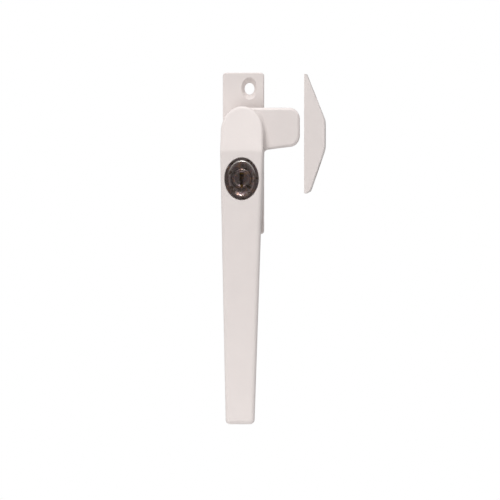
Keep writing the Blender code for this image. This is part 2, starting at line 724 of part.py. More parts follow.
def lock_plug(skin, parent):
    """Turning core: keyway, wafer slots, tail with its ring groove, and the drive pin."""
    lock = (0.0, LOCK_Z)
    profile = (
        (PLUG_RADIUS - PLUG_CHAMFER, PLUG_FRONT),
        (PLUG_RADIUS, PLUG_FRONT + PLUG_CHAMFER),
        (PLUG_RADIUS, BARREL_SHOULDER - FIT_GAP),
        (TAIL_RADIUS, BARREL_SHOULDER - FIT_GAP),
        (TAIL_RADIUS, TAIL_GROOVE[0]),
        (TAIL_GROOVE_RADIUS, TAIL_GROOVE[0]),
        (TAIL_GROOVE_RADIUS, TAIL_GROOVE[1]),
        (TAIL_RADIUS, TAIL_GROOVE[1]),
        (TAIL_RADIUS, TAIL_END),
    )
    plug = add_object("lock_plug", turned(lock, profile))
    lean = math.radians(KEY_TURN / 2.0)
    pin_x = -DRIVE_PIN_OFFSET * math.cos(lean)
    pin_z = LOCK_Z - DRIVE_PIN_OFFSET * math.sin(lean)
    pin = disc((pin_x, pin_z), DRIVE_PIN_RADIUS, COARSE)
    join(plug, prism(pin, DRIVE_PIN_END, TAIL_END - CUT_OVER / 2.0))
    half = KEYWAY_HALF_WIDTH
    keyway = rectangle(-half, half, LOCK_Z + KEYWAY_LOW, LOCK_Z + KEYWAY_HIGH)
    cut(plug, prism(keyway, KEYWAY_END, PLUG_FRONT - CUT_OVER))
    half = WAFER_HALF_WIDTH + FIT_GAP
    reach = PLUG_RADIUS + CUT_OVER / 2.0
    slot = rectangle(-half, half, LOCK_Z - reach, LOCK_Z + reach)
    pocket_x = WAFER_EAR_X + RUNNING_GAP
    pocket = rectangle(0.0, pocket_x, LOCK_Z - SPRING_POCKET_Z, LOCK_Z + SPRING_POCKET_Z)
    lift = WAFER_THICKNESS / 2.0 + RUNNING_GAP
    for index in range(WAFER_COUNT):
        depth = wafer_depth(index)
        cut(plug, prism(slot, depth + lift, depth - lift))
        cut(plug, prism(pocket, depth + SPRING_POCKET_HALF, depth - SPRING_POCKET_HALF))
    finish(plug, skin, parent)


def wafers(brass, steel, parent):
    """Flat wafers, each with a key window and an ear that sits on its own spring."""
    for index in range(WAFER_COUNT):
        depth = wafer_depth(index)
        back = depth + WAFER_THICKNESS / 2.0
        front = depth - WAFER_THICKNESS / 2.0
        outline = [
            (-WAFER_HALF_WIDTH, LOCK_Z - WAFER_HALF_HEIGHT),
            (WAFER_HALF_WIDTH, LOCK_Z - WAFER_HALF_HEIGHT),
            (WAFER_HALF_WIDTH, LOCK_Z + WAFER_EAR[0]),
            (WAFER_EAR_X - RUNNING_GAP, LOCK_Z + WAFER_EAR[0]),
            (WAFER_EAR_X - RUNNING_GAP, LOCK_Z + WAFER_EAR[1]),
            (WAFER_HALF_WIDTH, LOCK_Z + WAFER_EAR[1]),
            (WAFER_HALF_WIDTH, LOCK_Z + WAFER_HALF_HEIGHT),
            (-WAFER_HALF_WIDTH, LOCK_Z + WAFER_HALF_HEIGHT),
        ]
        wafer = add_object(f"wafer_{index + 1}", prism(outline, back, front))
        half, low, high = WAFER_WINDOW
        window = rectangle(-half, half, LOCK_Z + low, LOCK_Z + high)
        cut(wafer, prism(window, back + CUT_OVER, front - CUT_OVER))
        finish(wafer, brass, parent)
        clear = WAFER_WIRE + RUNNING_GAP
        start = (SPRING_POCKET_X, depth, LOCK_Z - SPRING_POCKET_Z + clear)
        length = WAFER_EAR[0] + SPRING_POCKET_Z - 2.0 * clear
        size = (WAFER_COIL_RADIUS, WAFER_WIRE, length, WAFER_COIL_TURNS, 8)
        spring = coil(start, (0, 0, 1), (1, 0, 0), *size)
        finish(add_object(f"wafer_spring_{index + 1}", spring), steel, parent)


def plug_circlip(steel, parent):
    """Open ring on the plug's tail, behind the cylinder body."""
    inner = TAIL_GROOVE_RADIUS + RUNNING_GAP
    ring = open_ring((0.0, LOCK_Z), inner, CIRCLIP_OUTER, 90.0, RING_OPENING)
    circlip = prism(ring, TAIL_GROOVE[1] - RUNNING_GAP, TAIL_GROOVE[0] + RUNNING_GAP)
    finish(add_object("plug_circlip", circlip), steel, parent)


def locking_bolt(steel, parent):
    """Stem that enters the hub's notch, on a yoke whose slot takes the drive pin."""
    low, high = BOLT_YOKE_Z
    outline = [
        (-BOLT_YOKE_HALF_WIDTH, low),
        (BOLT_YOKE_HALF_WIDTH, low),
        (BOLT_YOKE_HALF_WIDTH, high),
        (BOLT_HALF_WIDTH, high),
        (BOLT_HALF_WIDTH, BOLT_TIP_Z - BOLT_TIP_CHAMFER),
        (BOLT_HALF_WIDTH - BOLT_TIP_CHAMFER, BOLT_TIP_Z),
        (-BOLT_HALF_WIDTH + BOLT_TIP_CHAMFER, BOLT_TIP_Z),
        (-BOLT_HALF_WIDTH, BOLT_TIP_Z - BOLT_TIP_CHAMFER),
        (-BOLT_HALF_WIDTH, high),
        (-BOLT_YOKE_HALF_WIDTH, high),
    ]
    bolt = add_object("locking_bolt", prism(outline, BOLT_BACK, BOLT_FRONT))
    slot_z = LOCK_Z - BOLT_TRAVEL / 2.0
    reach = DRIVE_PIN_RADIUS + BOLT_SLOT_GAP
    inner = -DRIVE_PIN_OFFSET * math.cos(math.radians(KEY_TURN / 2.0)) + reach
    outer = -DRIVE_PIN_OFFSET - reach
    slot = rectangle(outer, inner, slot_z - reach, slot_z + reach)
    cut(bolt, prism(slot, 0.0, TAIL_END))
    finish(bolt, steel, parent)


def lock_cover(steel, parent):
    """Plate over the bolt chamber, with a countersunk hole for each of its screws."""
    outline = rectangle(-COVER_HALF_WIDTH, COVER_HALF_WIDTH, COVER_LOW_Z, COVER_HIGH_Z)
    cover = add_object("lock_cover", prism(outline, COVER_BACK, COVER_FRONT))
    flare, hole = COVER_HOLE
    steps = (
        (flare, COVER_BACK + FLARE_OVER),
        (hole, COVER_FRONT),
        (hole, COVER_FRONT - CUT_OVER),
    )
    for place in COVER_SCREWS:
        cut(cover, turned(place, steps, COARSE))
    finish(cover, steel, parent)


def cover_screws(steel, parent):
    """Countersunk screws of the cover, each with a cross recess."""
    profile = (
        (COVER_SCREW_HEAD, COVER_BACK - RUNNING_GAP),
        (COVER_SCREW_SHANK, COVER_FRONT - RUNNING_GAP),
        (COVER_SCREW_SHANK, COVER_SCREW_TAPER),
        COVER_SCREW_TIP,
    )
    for index, (x, z) in enumerate(COVER_SCREWS):
        screw = add_object(f"cover_screw_{index + 1}", turned((x, z), profile, COARSE))
        for half_x, half_z in (CROSS_SLOT, reversed(CROSS_SLOT)):
            bar = rectangle(x - half_x, x + half_x, z - half_z, z + half_z)
            cut(screw, prism(bar, 0.0, COVER_BACK - CROSS_SLOT_DEPTH))
        finish(screw, steel, parent)


# Strike wedge

def wedge_outline():
    """Flat back, two ramps and a flat crest, with blunt toes."""
    crest_low, crest_high = WEDGE_CREST_Z
    ease, slope_ease = WEDGE_CREST_EASE
    toe_in, toe_up = WEDGE_TOE_CUT
    toe_x = WEDGE_BACK_X + WEDGE_LOW_TOE
    return [
        (WEDGE_BACK_X, WEDGE_LOW_Z),
        (toe_x - toe_in, WEDGE_LOW_Z),
        (toe_x, WEDGE_LOW_Z + toe_up),
        (WEDGE_CREST_X - ease, crest_low - slope_ease),
        (WEDGE_CREST_X, crest_low + ease),
        (WEDGE_CREST_X, crest_high - ease),
        (WEDGE_CREST_X - ease, crest_high + slope_ease),
        (WEDGE_BACK_X + WEDGE_TOP_TOE, WEDGE_HIGH_Z),
        (WEDGE_BACK_X, WEDGE_HIGH_Z),
    ]


def strike_wedge(skin, parent):
    """Wedge that the tongue rides over, with a screw hole through each ramp."""
    blank = bevelled_prism(wedge_outline(), 0.0, -WEDGE_WIDTH, WEDGE_BEVEL, 2)
    wedge = add_object("strike_wedge", blank)
    for z in WEDGE_SCREW_Z:
        rings = []
        for x, radius in WEDGE_SCREW_STEPS:
            rings.append([(x, *place) for place in disc((-WEDGE_WIDTH / 2.0, z), radius, COARSE)])
        cut(wedge, loft(rings))
    finish(wedge, skin, parent)


def main():
    clear_scene()
    white = material("white_paint", (0.80, 0.76, 0.75), 0.38, 0.0)
    dark_chrome = material("dark_chrome", (0.20, 0.17, 0.17), 0.22, 1.0)
    brass = material("brass", (0.62, 0.47, 0.26), 0.35, 1.0)
    steel = material("zinc_steel", (0.55, 0.56, 0.58), 0.35, 1.0)
    nylon = material("nylon", (0.85, 0.84, 0.80), 0.55, 0.0)

    base_plate(white)
    detent_parts(steel)
    spindle_stack(steel, nylon)

    handle_pivot = axis_empty("handle_pivot", (0.0, 0.0, PIVOT_Z))
    handle_lever(white, handle_pivot)
    spindle_parts(steel, handle_pivot)
    lock_cylinder_body(dark_chrome, handle_pivot)
    cylinder_clip(steel, handle_pivot)
    lock_cover(steel, handle_pivot)
    cover_screws(steel, handle_pivot)

    key_axis = axis_empty("key_axis", (0.0, 0.0, LOCK_Z))
    lock_plug(brass, key_axis)
    wafers(brass, steel, key_axis)
    plug_circlip(steel, key_axis)

    bolt_axis = axis_empty("bolt_axis", (0.0, (BOLT_BACK + BOLT_FRONT) / 2.0, BOLT_TIP_Z))
    locking_bolt(steel, bolt_axis)

    wedge_axis = axis_empty("wedge_axis", (WEDGE_BACK_X, -WEDGE_WIDTH / 2.0, 0.0))
    strike_wedge(white, wedge_axis)


main()
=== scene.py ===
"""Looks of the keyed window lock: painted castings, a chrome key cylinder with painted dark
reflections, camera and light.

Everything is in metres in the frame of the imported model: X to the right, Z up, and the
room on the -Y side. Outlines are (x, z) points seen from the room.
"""

import json
import math

import bmesh
import bpy
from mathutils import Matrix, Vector

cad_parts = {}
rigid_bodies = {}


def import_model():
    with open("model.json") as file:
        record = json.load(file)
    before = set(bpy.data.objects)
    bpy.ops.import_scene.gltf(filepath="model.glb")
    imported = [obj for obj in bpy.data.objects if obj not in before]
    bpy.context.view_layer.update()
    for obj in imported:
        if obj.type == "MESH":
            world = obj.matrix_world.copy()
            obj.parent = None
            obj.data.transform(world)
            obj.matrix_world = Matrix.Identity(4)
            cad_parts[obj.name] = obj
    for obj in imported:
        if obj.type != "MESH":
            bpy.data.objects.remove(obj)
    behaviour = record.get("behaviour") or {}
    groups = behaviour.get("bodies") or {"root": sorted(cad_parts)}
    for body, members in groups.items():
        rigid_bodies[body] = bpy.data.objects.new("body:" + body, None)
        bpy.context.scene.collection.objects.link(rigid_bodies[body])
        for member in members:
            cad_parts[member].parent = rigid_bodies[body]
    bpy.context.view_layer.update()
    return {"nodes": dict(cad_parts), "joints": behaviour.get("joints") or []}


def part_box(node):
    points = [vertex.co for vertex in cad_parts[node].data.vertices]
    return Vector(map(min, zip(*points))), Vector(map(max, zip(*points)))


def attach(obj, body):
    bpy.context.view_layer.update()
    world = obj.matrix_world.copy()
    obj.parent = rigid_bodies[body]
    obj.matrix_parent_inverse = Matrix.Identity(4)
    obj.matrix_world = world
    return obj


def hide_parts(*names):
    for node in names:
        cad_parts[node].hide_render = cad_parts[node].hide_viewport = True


for leftover in list(bpy.data.objects):
    bpy.data.objects.remove(leftover, do_unlink=True)

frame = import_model()

# Places and sizes that the frame gives
JOINTS = {joint["name"]: joint for joint in frame["joints"]}
PIVOT_Z = JOINTS["handle_turn"]["pos_m"][2]
LOCK_Z = JOINTS["key_turn"]["pos_m"][2]
PLATE_LOW, PLATE_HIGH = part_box("base_plate")
LEVER_LOW, LEVER_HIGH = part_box("handle_lever")
CYLINDER_LOW, CYLINDER_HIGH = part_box("lock_cylinder_body")
PLUG_LOW, PLUG_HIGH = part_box("lock_plug")
WEDGE_LOW, WEDGE_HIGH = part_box("strike_wedge")
COVER_LOW, COVER_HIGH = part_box("lock_cover")

# (x, z) of the two turning axes
PIVOT = (0.0, PIVOT_Z)
LOCK = (0.0, LOCK_Z)

# How far a cutter runs past an open face, and how far neighbouring shapes run into each other
OVERCUT = 0.001
OVERLAP = 0.0005

# Base plate
PLATE_FRONT = -0.0032
PLATE_CORNER = 0.0013
PLATE_EDGE = 0.0004
PLATE_BACK_EDGE = 0.0002
HUB_RADIUS = 0.0065
HUB_EDGE = 0.0003
HUB_BORE = 0.0034
# (radius, depth) steps
HUB_RECESS = ((0.0059, 0.0001), (0.0056, -0.0002), (0.0056, -0.0034))
STOP_RADIUS = 0.0051
STOP_SPAN = (14.0, -104.0)
NOTCH_HALF_WIDTH = 0.00165
NOTCH_REACH = 0.00425
NOTCH_BACK = -0.0047
WELL_BACK = -0.0042
DETENT_RADIUS = 0.00485
DETENT_ANGLE = 45.0
DETENT_HOLE = 0.0011
DETENT_HOLE_BACK = -0.0038
DETENT_TURN = 90.0
TRACK_HALF_WIDTH = 0.00085
TRACK_DEPTH = 0.0004
DIMPLE_RADIUS = 0.0010
DIMPLE_DEPTH = 0.0007
SCREW_PLACE = (0.0024, 0.0260)
# (half width, half height), and the lip as (growth, depth) steps
COUNTERSINK = (0.00315, 0.0044)
COUNTERSINK_LIP = ((0.0004, -0.0002), (0.00012, 0.0), (0.00002, 0.00006), (-0.00006, 0.00018))
SCREW_SLOT = (0.0020, 0.00235)
COUNTERSINK_FLOOR = -0.0014

# Lever
BOSS_HALF_WIDTH = 0.0084
BOSS_HALF_HEIGHT = LEVER_HIGH.z - PIVOT_Z
LEVER_CREASE_SIDES = (-0.0086, 0.0085)
LEVER_END_SIDES = (-0.0065, 0.0048)
LEVER_CORNER = 0.0017
BOSS_EDGE = 0.0010
LEVER_EDGE = 0.0016
LEVER_EDGE_STEPS = 10
LEVER_BACK_EDGE = 0.0004
LEVER_BACK_EDGE_STEPS = 4
CREASE_Z = 0.0006
CREASE_SOFTNESS = 0.0005
CREASE_Y = -0.0195
APEX_Y = -0.0150
LEVER_END_Y = -0.0170
SKIRT_END_Z = -0.0225
DOME_END = 88.5
# (z, depth) points down the back
LEVER_BACK_LINE = ((0.03, -0.0036), (-0.0225, -0.0036), (-0.0275, -0.0110), (-0.11, -0.0103))
# Heights of the outline's points: down the grip, round the back's bends and, from CREASE_Z, the crease
GRIP_STEPS = 10
GRIP_STEPS_TOP = -0.0300
BACK_STATIONS = (
    -0.0290, -0.0279, -0.0275, -0.0271, -0.0250, -0.0229,
    -0.0225, -0.0221, -0.0200, -0.0100, -0.0050,
)
CREASE_STATIONS = (
    -0.0030, -0.0018, -0.0011, -0.0006, -0.0003, 0.0,
    0.0003, 0.0006, 0.0011, 0.0018, 0.0030, 0.0050,
)
GRIP_WALL = 0.0020
GRIP_POCKET_FLOOR = -0.0140
GRIP_POCKET_TOP = -0.0305
GRIP_POCKET_COUNT = 4
GRIP_END_WALL = 0.0045
GRIP_RIB = 0.0015
BOSS_RECESS_RADIUS = 0.0068
BOSS_RECESS_FLOOR = -0.0079
LUG_HALF_ANGLE = 11.0
LUG_GAP = 0.0003
LUG_ROOT = 0.0004
LUG_SINK = 0.0002
LUG_STEPS = 6
LUG_BACK = -0.0045
SPINDLE_SOCKET_RADIUS = 0.00265
SPINDLE_SOCKET_END = -0.0133
TONGUE_TOP_Z = 0.0181
TONGUE_ROOT_Z = 0.0012
TONGUE_LOW_Z = 0.0025
TONGUE_BACK = -0.0088
TONGUE_FRONT = -0.0138
TONGUE_CORNER = (0.0040, 0.0046)
TONGUE_CORNER_STEPS = 12
TONGUE_TILT = 2.0
TONGUE_EDGE = 0.0012
ROOT_FILLET = 0.0020
ROOT_OVERLAP = 0.0002
FACE_FILLET = 0.0011
FACE_FILLET_ARC = (-36.0, 56.0)
FACE_FILLET_STEPS = 36
FACE_FILLET_SINK = 0.0006
FACE_FILLET_OVERLAP = 0.00002
FACE_FILLET_TAPER_STEPS = 6
FACE_FILLET_END_SHARE = 0.15

# Key cylinder
SEAT_GAP = 0.00015
# (growth, depth) steps
SEAT_LIP = ((0.0, 0.00030), (0.00006, 0.00014), (0.00022, 0.0), (0.0009, -0.0006))
FLANGE_BACK = -0.0179
RIM_DROP = 0.00045
RIM_ROUND = 0.00015
RIM_WIDTH = 0.00095
RIM_RISE = 0.00006
CROWN_WIDTH = 0.00052
CROWN_ROUND = 0.00012
CROWN_SLOPE_SHARE = 0.92
CROWN_ROUND_SHARE = 0.98
DISH_DEPTH = 0.0006
DISH_STEPS = 14
# The painted-highlight faces' lean towards the room and reach from the axis, squared, and the
# heights above the axis between which the painted highlight grows
HIGHLIGHT_LEAN = (0.5, 0.97)
HIGHLIGHT_REACH = 0.8
HIGHLIGHT_HEIGHT = (0.0010, 0.0062)
BARREL_RADIUS = 0.0054
BARREL_SHOULDER = -0.0090
CLIP_GROOVE_RADIUS = 0.0049
CLIP_GROOVE = (-0.0093, -0.0087)
PLUG_RADIUS = 0.0040
PLUG_GAP = 0.0001
# (radius, depth behind the front) steps
PLUG_FACE = (
    (0.00220, 0.00030), (0.00280, 0.00021), (0.00300, 0.00004), (0.00310, 0.0),
    (0.00365, 0.00002), (0.00390, 0.00012), (0.00400, 0.00030),
)
TAIL_RADIUS = 0.0030
TAIL_GROOVE_RADIUS = 0.0025
TAIL_GROOVE = (-0.0082, -0.0077)
TAIL_END = -0.0074
DRIVE_PIN_OFFSET = 0.00165
DRIVE_PIN_RADIUS = 0.00075
DRIVE_PIN_LEAN = 45.0
KEYWAY_HALF_WIDTH = 0.0005
KEYWAY_LOW = -0.0034
KEYWAY_HIGH = 0.0025
KEYWAY_HEAD_HALF = 0.0008
KEYWAY_HEAD_LOW = 0.0000
KEYWAY_END = -0.0101
KEYWAY_FLARE = 0.0002
KEYWAY_MOUTH = (-0.0001, 0.0005)
# The part of the keyway whose walls get the brass; the walls above it keep the dark chrome as painted
# shade
BRASS_X = 0.00082
BRASS_Z = (-0.0033, -0.0006)
BRASS_SETBACK = 0.0002
BRASS_END = -0.0094
BRASS_LEAN = 0.3
WAFER_FIRST_Y = -0.0171
WAFER_PITCH = 0.0018
WAFER_COUNT = 4
# (half width, reach up and down, half thickness) and (reach right, half height, half thickness)
WAFER_SLOT = (0.0016, 0.0041, 0.00035)
SPRING_POCKET = (0.0031, 0.0023, 0.00062)

# Bolt chamber behind the cylinder
CHAMBER_HALF_WIDTH = 0.0066
CHAMBER_Z = (-0.0170, -0.0038)
CHAMBER_FLOOR = -0.0094
CHANNEL_HALF_WIDTH = 0.00165
CHANNEL_FLOOR = -0.00715
COVER_GAP = 0.00015
COVER_SINK = 0.0001
COVER_SCREW_RADIUS = 0.0010
COVER_SCREW_END = -0.0080
COVER_SCREWS = ((-0.0045, -0.0014), (0.0045, -0.0014), (0.0, -0.0189))

# Strike wedge
WEDGE_CREST = (0.0018, 0.0130)
WEDGE_TOP_TOE = 0.0010
WEDGE_LOW_TOE = 0.0022
WEDGE_TOE_ROUND = 0.0014
WEDGE_EDGE = 0.0006
WEDGE_CREST_SOFTNESS = 0.0003
WEDGE_BACK_SHARE = 0.3
WEDGE_EDGE_LIMIT = 0.42
WEDGE_SECTIONS = 60
WEDGE_SCREW_Z = (-0.0062, 0.0225)
WEDGE_SCREW_RADIUS = 0.0020
WEDGE_HEAD_RADIUS = 0.0041
WEDGE_HEAD_X = (0.0268, 0.0290, 0.0340)

# Points round a whole circle, steps round edges and sectors, and limits for edges and mitres
FINE = 96
COARSE = 48
EDGE_STEPS = 8
SMALL_EDGE_STEPS = 6
SECTOR_STEPS = 24
SHARP_ANGLE = 32.0
MITRE_LIMIT = 0.5

# Camera
CAMERA_AIM = (0.00305, -0.012, -0.0388)
CAMERA_DISTANCE = 2.5
CAMERA_ASIDE = 2.4
CAMERA_SENSOR = 36.0
FRAME_HEIGHT = 0.2

# Lamps as (name, place, size, watts, seen in reflections), all aimed at one point
LIGHT_AIM = (0.005, 0.0, -0.03)
LIGHTS = (
    ("key", (-0.55, -1.00, 1.35), (0.78, 0.78), 11.4, False),
    ("overhead", (0.08, -1.15, 1.15), (0.24, 0.20), 5.3, True),
    ("low", (-0.15, -0.50, -0.16), (0.2, 0.3), 0.97, False),
    ("top", (-0.05, -0.15, 1.0), (0.6, 0.5), 3.4, True),
    ("left", (-1.0, -0.2, 0.1), (0.5, 0.6), 1.0, False),
    ("right", (0.9, -0.45, 0.0), (0.5, 0.6), 1.8, False),
)

# Sky greys as (share of the way from the room to the sash, grey) stops
SKY_STOPS = ((0.08, 0.12), (0.45, 0.45))

# Floor
FLOOR_PLACE = (0.005, 0.0, -0.166)
FLOOR_RADIUS = 0.14
FLOOR_THICKNESS = 0.002


# Outlines

def arc(centre, radii, start, end, steps):
    """Points of an ellipse's arc, with angles in degrees from the first axis to the second."""
    points = []
    for step in range(steps + 1):
        angle = math.radians(start + (end - start) * step / steps)
        across = centre[0] + radii[0] * math.cos(angle)
        up = centre[1] + radii[1] * math.sin(angle)
        points.append((across, up))
    return points


def oval(centre, radii, segments=FINE):
    """A whole ellipse."""
    return arc(centre, radii, 0.0, 360.0, segments)[:-1]


def disc(centre, radius, segments=FINE):
    """A whole circle."""
    return oval(centre, (radius, radius), segments)


def rectangle(x_low, x_high, z_low, z_high):
    """Four corners, anticlockwise."""
    return [(x_low, z_low), (x_high, z_low), (x_high, z_high), (x_low, z_high)]


def rounded_rectangle(low, high, radius):
    """A rectangle between two (x, z) corners, with round corners."""
    points = []
    corners = (
        (high[0] - radius, high[1] - radius, 0.0),
        (low[0] + radius, high[1] - radius, 90.0),
        (low[0] + radius, low[1] + radius, 180.0),
        (high[0] - radius, low[1] + radius, 270.0),
    )
    for x, z, start in corners:
        points += arc((x, z), (radius, radius), start, start + 90.0, EDGE_STEPS)
    return points


def around_pivot(radius, angle):
    """The point at a radius from the pivot, at an angle in degrees from +Z towards -X."""
    turn = math.radians(angle)
    return (-radius * math.sin(turn), PIVOT_Z + radius * math.cos(turn))


def pivot_sector(inner, outer, start, end, steps=SECTOR_STEPS):
    """A ring sector about the pivot, between two angles from +Z towards -X."""
    angles = [start + (end - start) * step / steps for step in range(steps + 1)]
    outside = [around_pivot(outer, angle) for angle in angles]
    inside = [around_pivot(inner, angle) for angle in reversed(angles)]
    return outside + inside


def inset(outline, distance):
    """The outline moved inwards, each corner along the mitre of its two sides."""
    count = len(outline)
    area = 0.0
    for index, (x, z) in enumerate(outline):
        area += outline[index - 1][0] * z - x * outline[index - 1][1]
    inwards = math.copysign(1.0, area)
    moved = []
    for index, point in enumerate(outline):
        here = Vector(point)
        before = (here - Vector(outline[index - 1])).normalized()
        after = (Vector(outline[(index + 1) % count]) - here).normalized()
        square_before = Vector((-before.y, before.x))
        square_after = Vector((-after.y, after.x))
        mitre = (square_before + square_after).normalized()
        stretch = max(mitre.dot(square_before), MITRE_LIMIT)
        moved.append(tuple(here + mitre * inwards * distance / stretch))
    return moved


def at_depth(outline, depth):
    """The outline's points in space, at one depth Y."""
    return [(x, depth, z) for x, z in outline]


def quarter(steps):
    """(inset share, lift share) pairs round a quarter circle, from the side to the face."""
    angles = [math.pi / 2.0 * step / steps for step in range(steps + 1)]
    return [(1.0 - math.cos(angle), 1.0 - math.sin(angle)) for angle in angles]


# Solids

def loft(rings, closed=False, caps=True):
    """A skin through rings of equal point counts: capped, joined end to end or left open."""
    shape = bmesh.new()
    loops = [[shape.verts.new(point) for point in ring] for ring in rings]
    pairs = list(zip(loops, loops[1:]))
    if closed:
        pairs.append((loops[-1], loops[0]))
    for near, far in pairs:
        for index in range(len(near)):
            after = (index + 1) % len(near)
            shape.faces.new((near[index], near[after], far[after], far[index]))
    if caps and not closed:
        shape.faces.new(loops[0])
        shape.faces.new(loops[-1])
    if caps:
        bmesh.ops.recalc_face_normals(shape, faces=shape.faces)
    return shape


def cap_rows(shape, loop):
    """Fill a ring whose second half mirrors its first with a ladder of quads."""
    half = len(loop) // 2
    right = loop[:half]
    left = loop[half:][::-1]
    for index in range(half - 1):
        shape.faces.new((right[index], right[index + 1], left[index + 1], left[index]))


def prism(outline, back, front):
    """An outline drawn out along Y."""
    return loft([at_depth(outline, back), at_depth(outline, front)])


def turned(centre, profile):
    """A solid of (radius, y) steps turned about a Y line through centre."""
    return loft([at_depth(disc(centre, radius), y) for radius, y in profile])


def rounded_prism(outline, back, front, back_edge, front_edge):
    """A prism with quarter-round edges at its back and its front."""
    rings = []
    for inwards, lift in reversed(quarter(EDGE_STEPS // 2)):
        rings.append(at_depth(inset(outline, back_edge * inwards), back - back_edge * lift))
    for inwards, lift in quarter(EDGE_STEPS):
        rings.append(at_depth(inset(outline, front_edge * inwards), front + front_edge * lift))
    return loft(rings)


def add_object(name, shape):
    """Make an object from a bmesh."""
    mesh = bpy.data.meshes.new(name)
    shape.to_mesh(mesh)
    shape.free()
    made = bpy.data.objects.new(name, mesh)
    bpy.context.scene.collection.objects.link(made)
    return made


def combine(target, shape, operation):
    """Apply one exact Boolean of the shape to the target's mesh."""
    tool = add_object("tool", shape)
    step = target.modifiers.new("combine", "BOOLEAN")
    step.operation = operation
    step.solver = "EXACT"
    step.object = tool
    bpy.context.view_layer.update()
    evaluated = target.evaluated_get(bpy.context.evaluated_depsgraph_get())
    result = bpy.data.meshes.new_from_object(evaluated)
    target.modifiers.clear()
    target.data = result
    bpy.data.objects.remove(tool, do_unlink=True)


def cut(target, shape):
    """Take the shape away from the target."""
    combine(target, shape, "DIFFERENCE")


def join(target, shape):
    """Add the shape to the target."""
    combine(target, shape, "UNION")


def finish(made, skins, body, nodes):
    """Give a piece its materials and shading, and put it in place of its CAD nodes."""
    made.data.materials.clear()
    for skin in skins:
        made.data.materials.append(skin)
    made.data.shade_smooth()
    made.data.set_sharp_from_angle(angle=math.radians(SHARP_ANGLE))
    weighted = made.modifiers.new("weighted_normals", "WEIGHTED_NORMAL")
    weighted.keep_sharp = True
    weighted.weight = 100
    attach(made, body)
    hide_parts(*nodes)


# Materials

class Nodes:
    """A material's node tree with short calls for the nodes used here."""

    def __init__(self, name):
        self.material = bpy.data.materials.new(name)
        self.material.use_nodes = True
        self.tree = self.material.node_tree
        self.sockets = self.tree.nodes["Principled BSDF"].inputs
        self.place = self.add("ShaderNodeTexCoord").outputs["Object"]

    def add(self, kind, **inputs):
        """A node with its unlinked inputs set by name."""
        node = self.tree.nodes.new(kind)
        for name, value in inputs.items():
            node.inputs[name.replace("_", " ")].default_value = value
        return node

    def link(self, output, target):
        """Join an output to an input socket."""
        self.tree.links.new(output, target)

    def scaled(self, scale):
        """Object coordinates stretched by a factor for each axis."""
        mapping = self.add("ShaderNodeMapping", Scale=scale)
        self.link(self.place, mapping.inputs["Vector"])
        return mapping.outputs["Vector"]

    def noise(self, scale, detail=3.0, roughness=0.5, stretch=(1.0, 1.0, 1.0)):
        """Noise with a feature size of 1 / scale metres."""
        node = self.add("ShaderNodeTexNoise", Scale=scale, Detail=detail, Roughness=roughness)
        self.link(self.scaled(stretch), node.inputs["Vector"])
        return node.outputs["Fac"]

    def ramp(self, source, stops):
        """Colour ramp from (position, colour) stops."""
        node = self.add("ShaderNodeValToRGB")
        elements = node.color_ramp.elements
        elements[0].position, elements[0].color = stops[0]
        elements[1].position, elements[1].color = stops[-1]
        for position, colour in stops[1:-1]:
            elements.new(position).color = colour
        self.link(source, node.inputs["Fac"])
        return node.outputs["Color"]

    def spread(self, source, low, high):
        """The source's middle range mapped to low..high."""
        node = self.add("ShaderNodeMapRange", From_Min=0.3, From_Max=0.7, To_Min=low, To_Max=high)
        self.link(source, node.inputs["Value"])
        return node.outputs["Result"]

    def bump(self, source, distance, below=None):
        """A bump layer of so many metres, on top of another one."""
        node = self.add("ShaderNodeBump", Distance=distance, Strength=1.0)
        self.link(source, node.inputs["Height"])
        if below is not None:
            self.link(below, node.inputs["Normal"])
        return node.outputs["Normal"]

    def set(self, **values):
        """Plain values on the shader's own sockets."""
        for name, value in values.items():
            self.sockets[name.replace("_", " ")].default_value = value


def grey(value):
    """A neutral colour."""
    return (value, value, value, 1.0)


def white_paint():
    """Satin powder coat: faint mottling, orange peel and a fine tooth."""
    skin = Nodes("white_paint_skin")
    mottle = skin.noise(140.0, detail=4.0)
    warm = ((0.25, (0.735, 0.672, 0.652, 1.0)), (0.75, (0.760, 0.697, 0.674, 1.0)))
    skin.link(skin.ramp(mottle, warm), skin.sockets["Base Color"])
    skin.link(skin.spread(skin.noise(420.0), 0.36, 0.46), skin.sockets["Roughness"])
    peel = skin.bump(skin.noise(950.0, detail=1.5), 0.000025)
    tooth = skin.bump(skin.noise(4200.0, detail=2.0), 0.0000012, below=peel)
    skin.link(tooth, skin.sockets["Normal"])
    skin.set(Metallic=0.0, IOR=1.48, Coat_Weight=0.04, Coat_Roughness=0.35)
    return skin.material


def chrome_painted_dark_reflections():
    """Plated face whose dark colour, with a warm and a violet cast, is painted reflection of dark
    surroundings and partly smudges; hairline scratches in its surface.
    """
    skin = Nodes("dark_chrome_skin")
    cast = skin.noise(420.0, detail=3.0, roughness=0.62)
    # painted reflection: dark, mottled colours for the dark surroundings mirrored in the chrome,
    # partly smudges
    stops = (
        (0.38, (0.150, 0.100, 0.078, 1.0)),
        (0.47, (0.470, 0.395, 0.365, 1.0)),
        (0.53, (0.320, 0.235, 0.265, 1.0)),
        (0.62, (0.620, 0.400, 0.290, 1.0)),
    )
    skin.link(skin.ramp(cast, stops), skin.sockets["Base Color"])
    skin.link(skin.spread(skin.noise(900.0, detail=5.0), 0.20, 0.40), skin.sockets["Roughness"])
    hairlines = skin.bump(skin.noise(900.0, detail=6.0, stretch=(1.0, 1.0, 9.0)), 0.000005)
    waves = skin.bump(skin.noise(650.0, detail=2.0), 0.000024, below=hairlines)
    skin.link(waves, skin.sockets["Normal"])
    skin.set(Metallic=1.0)
    return skin.material


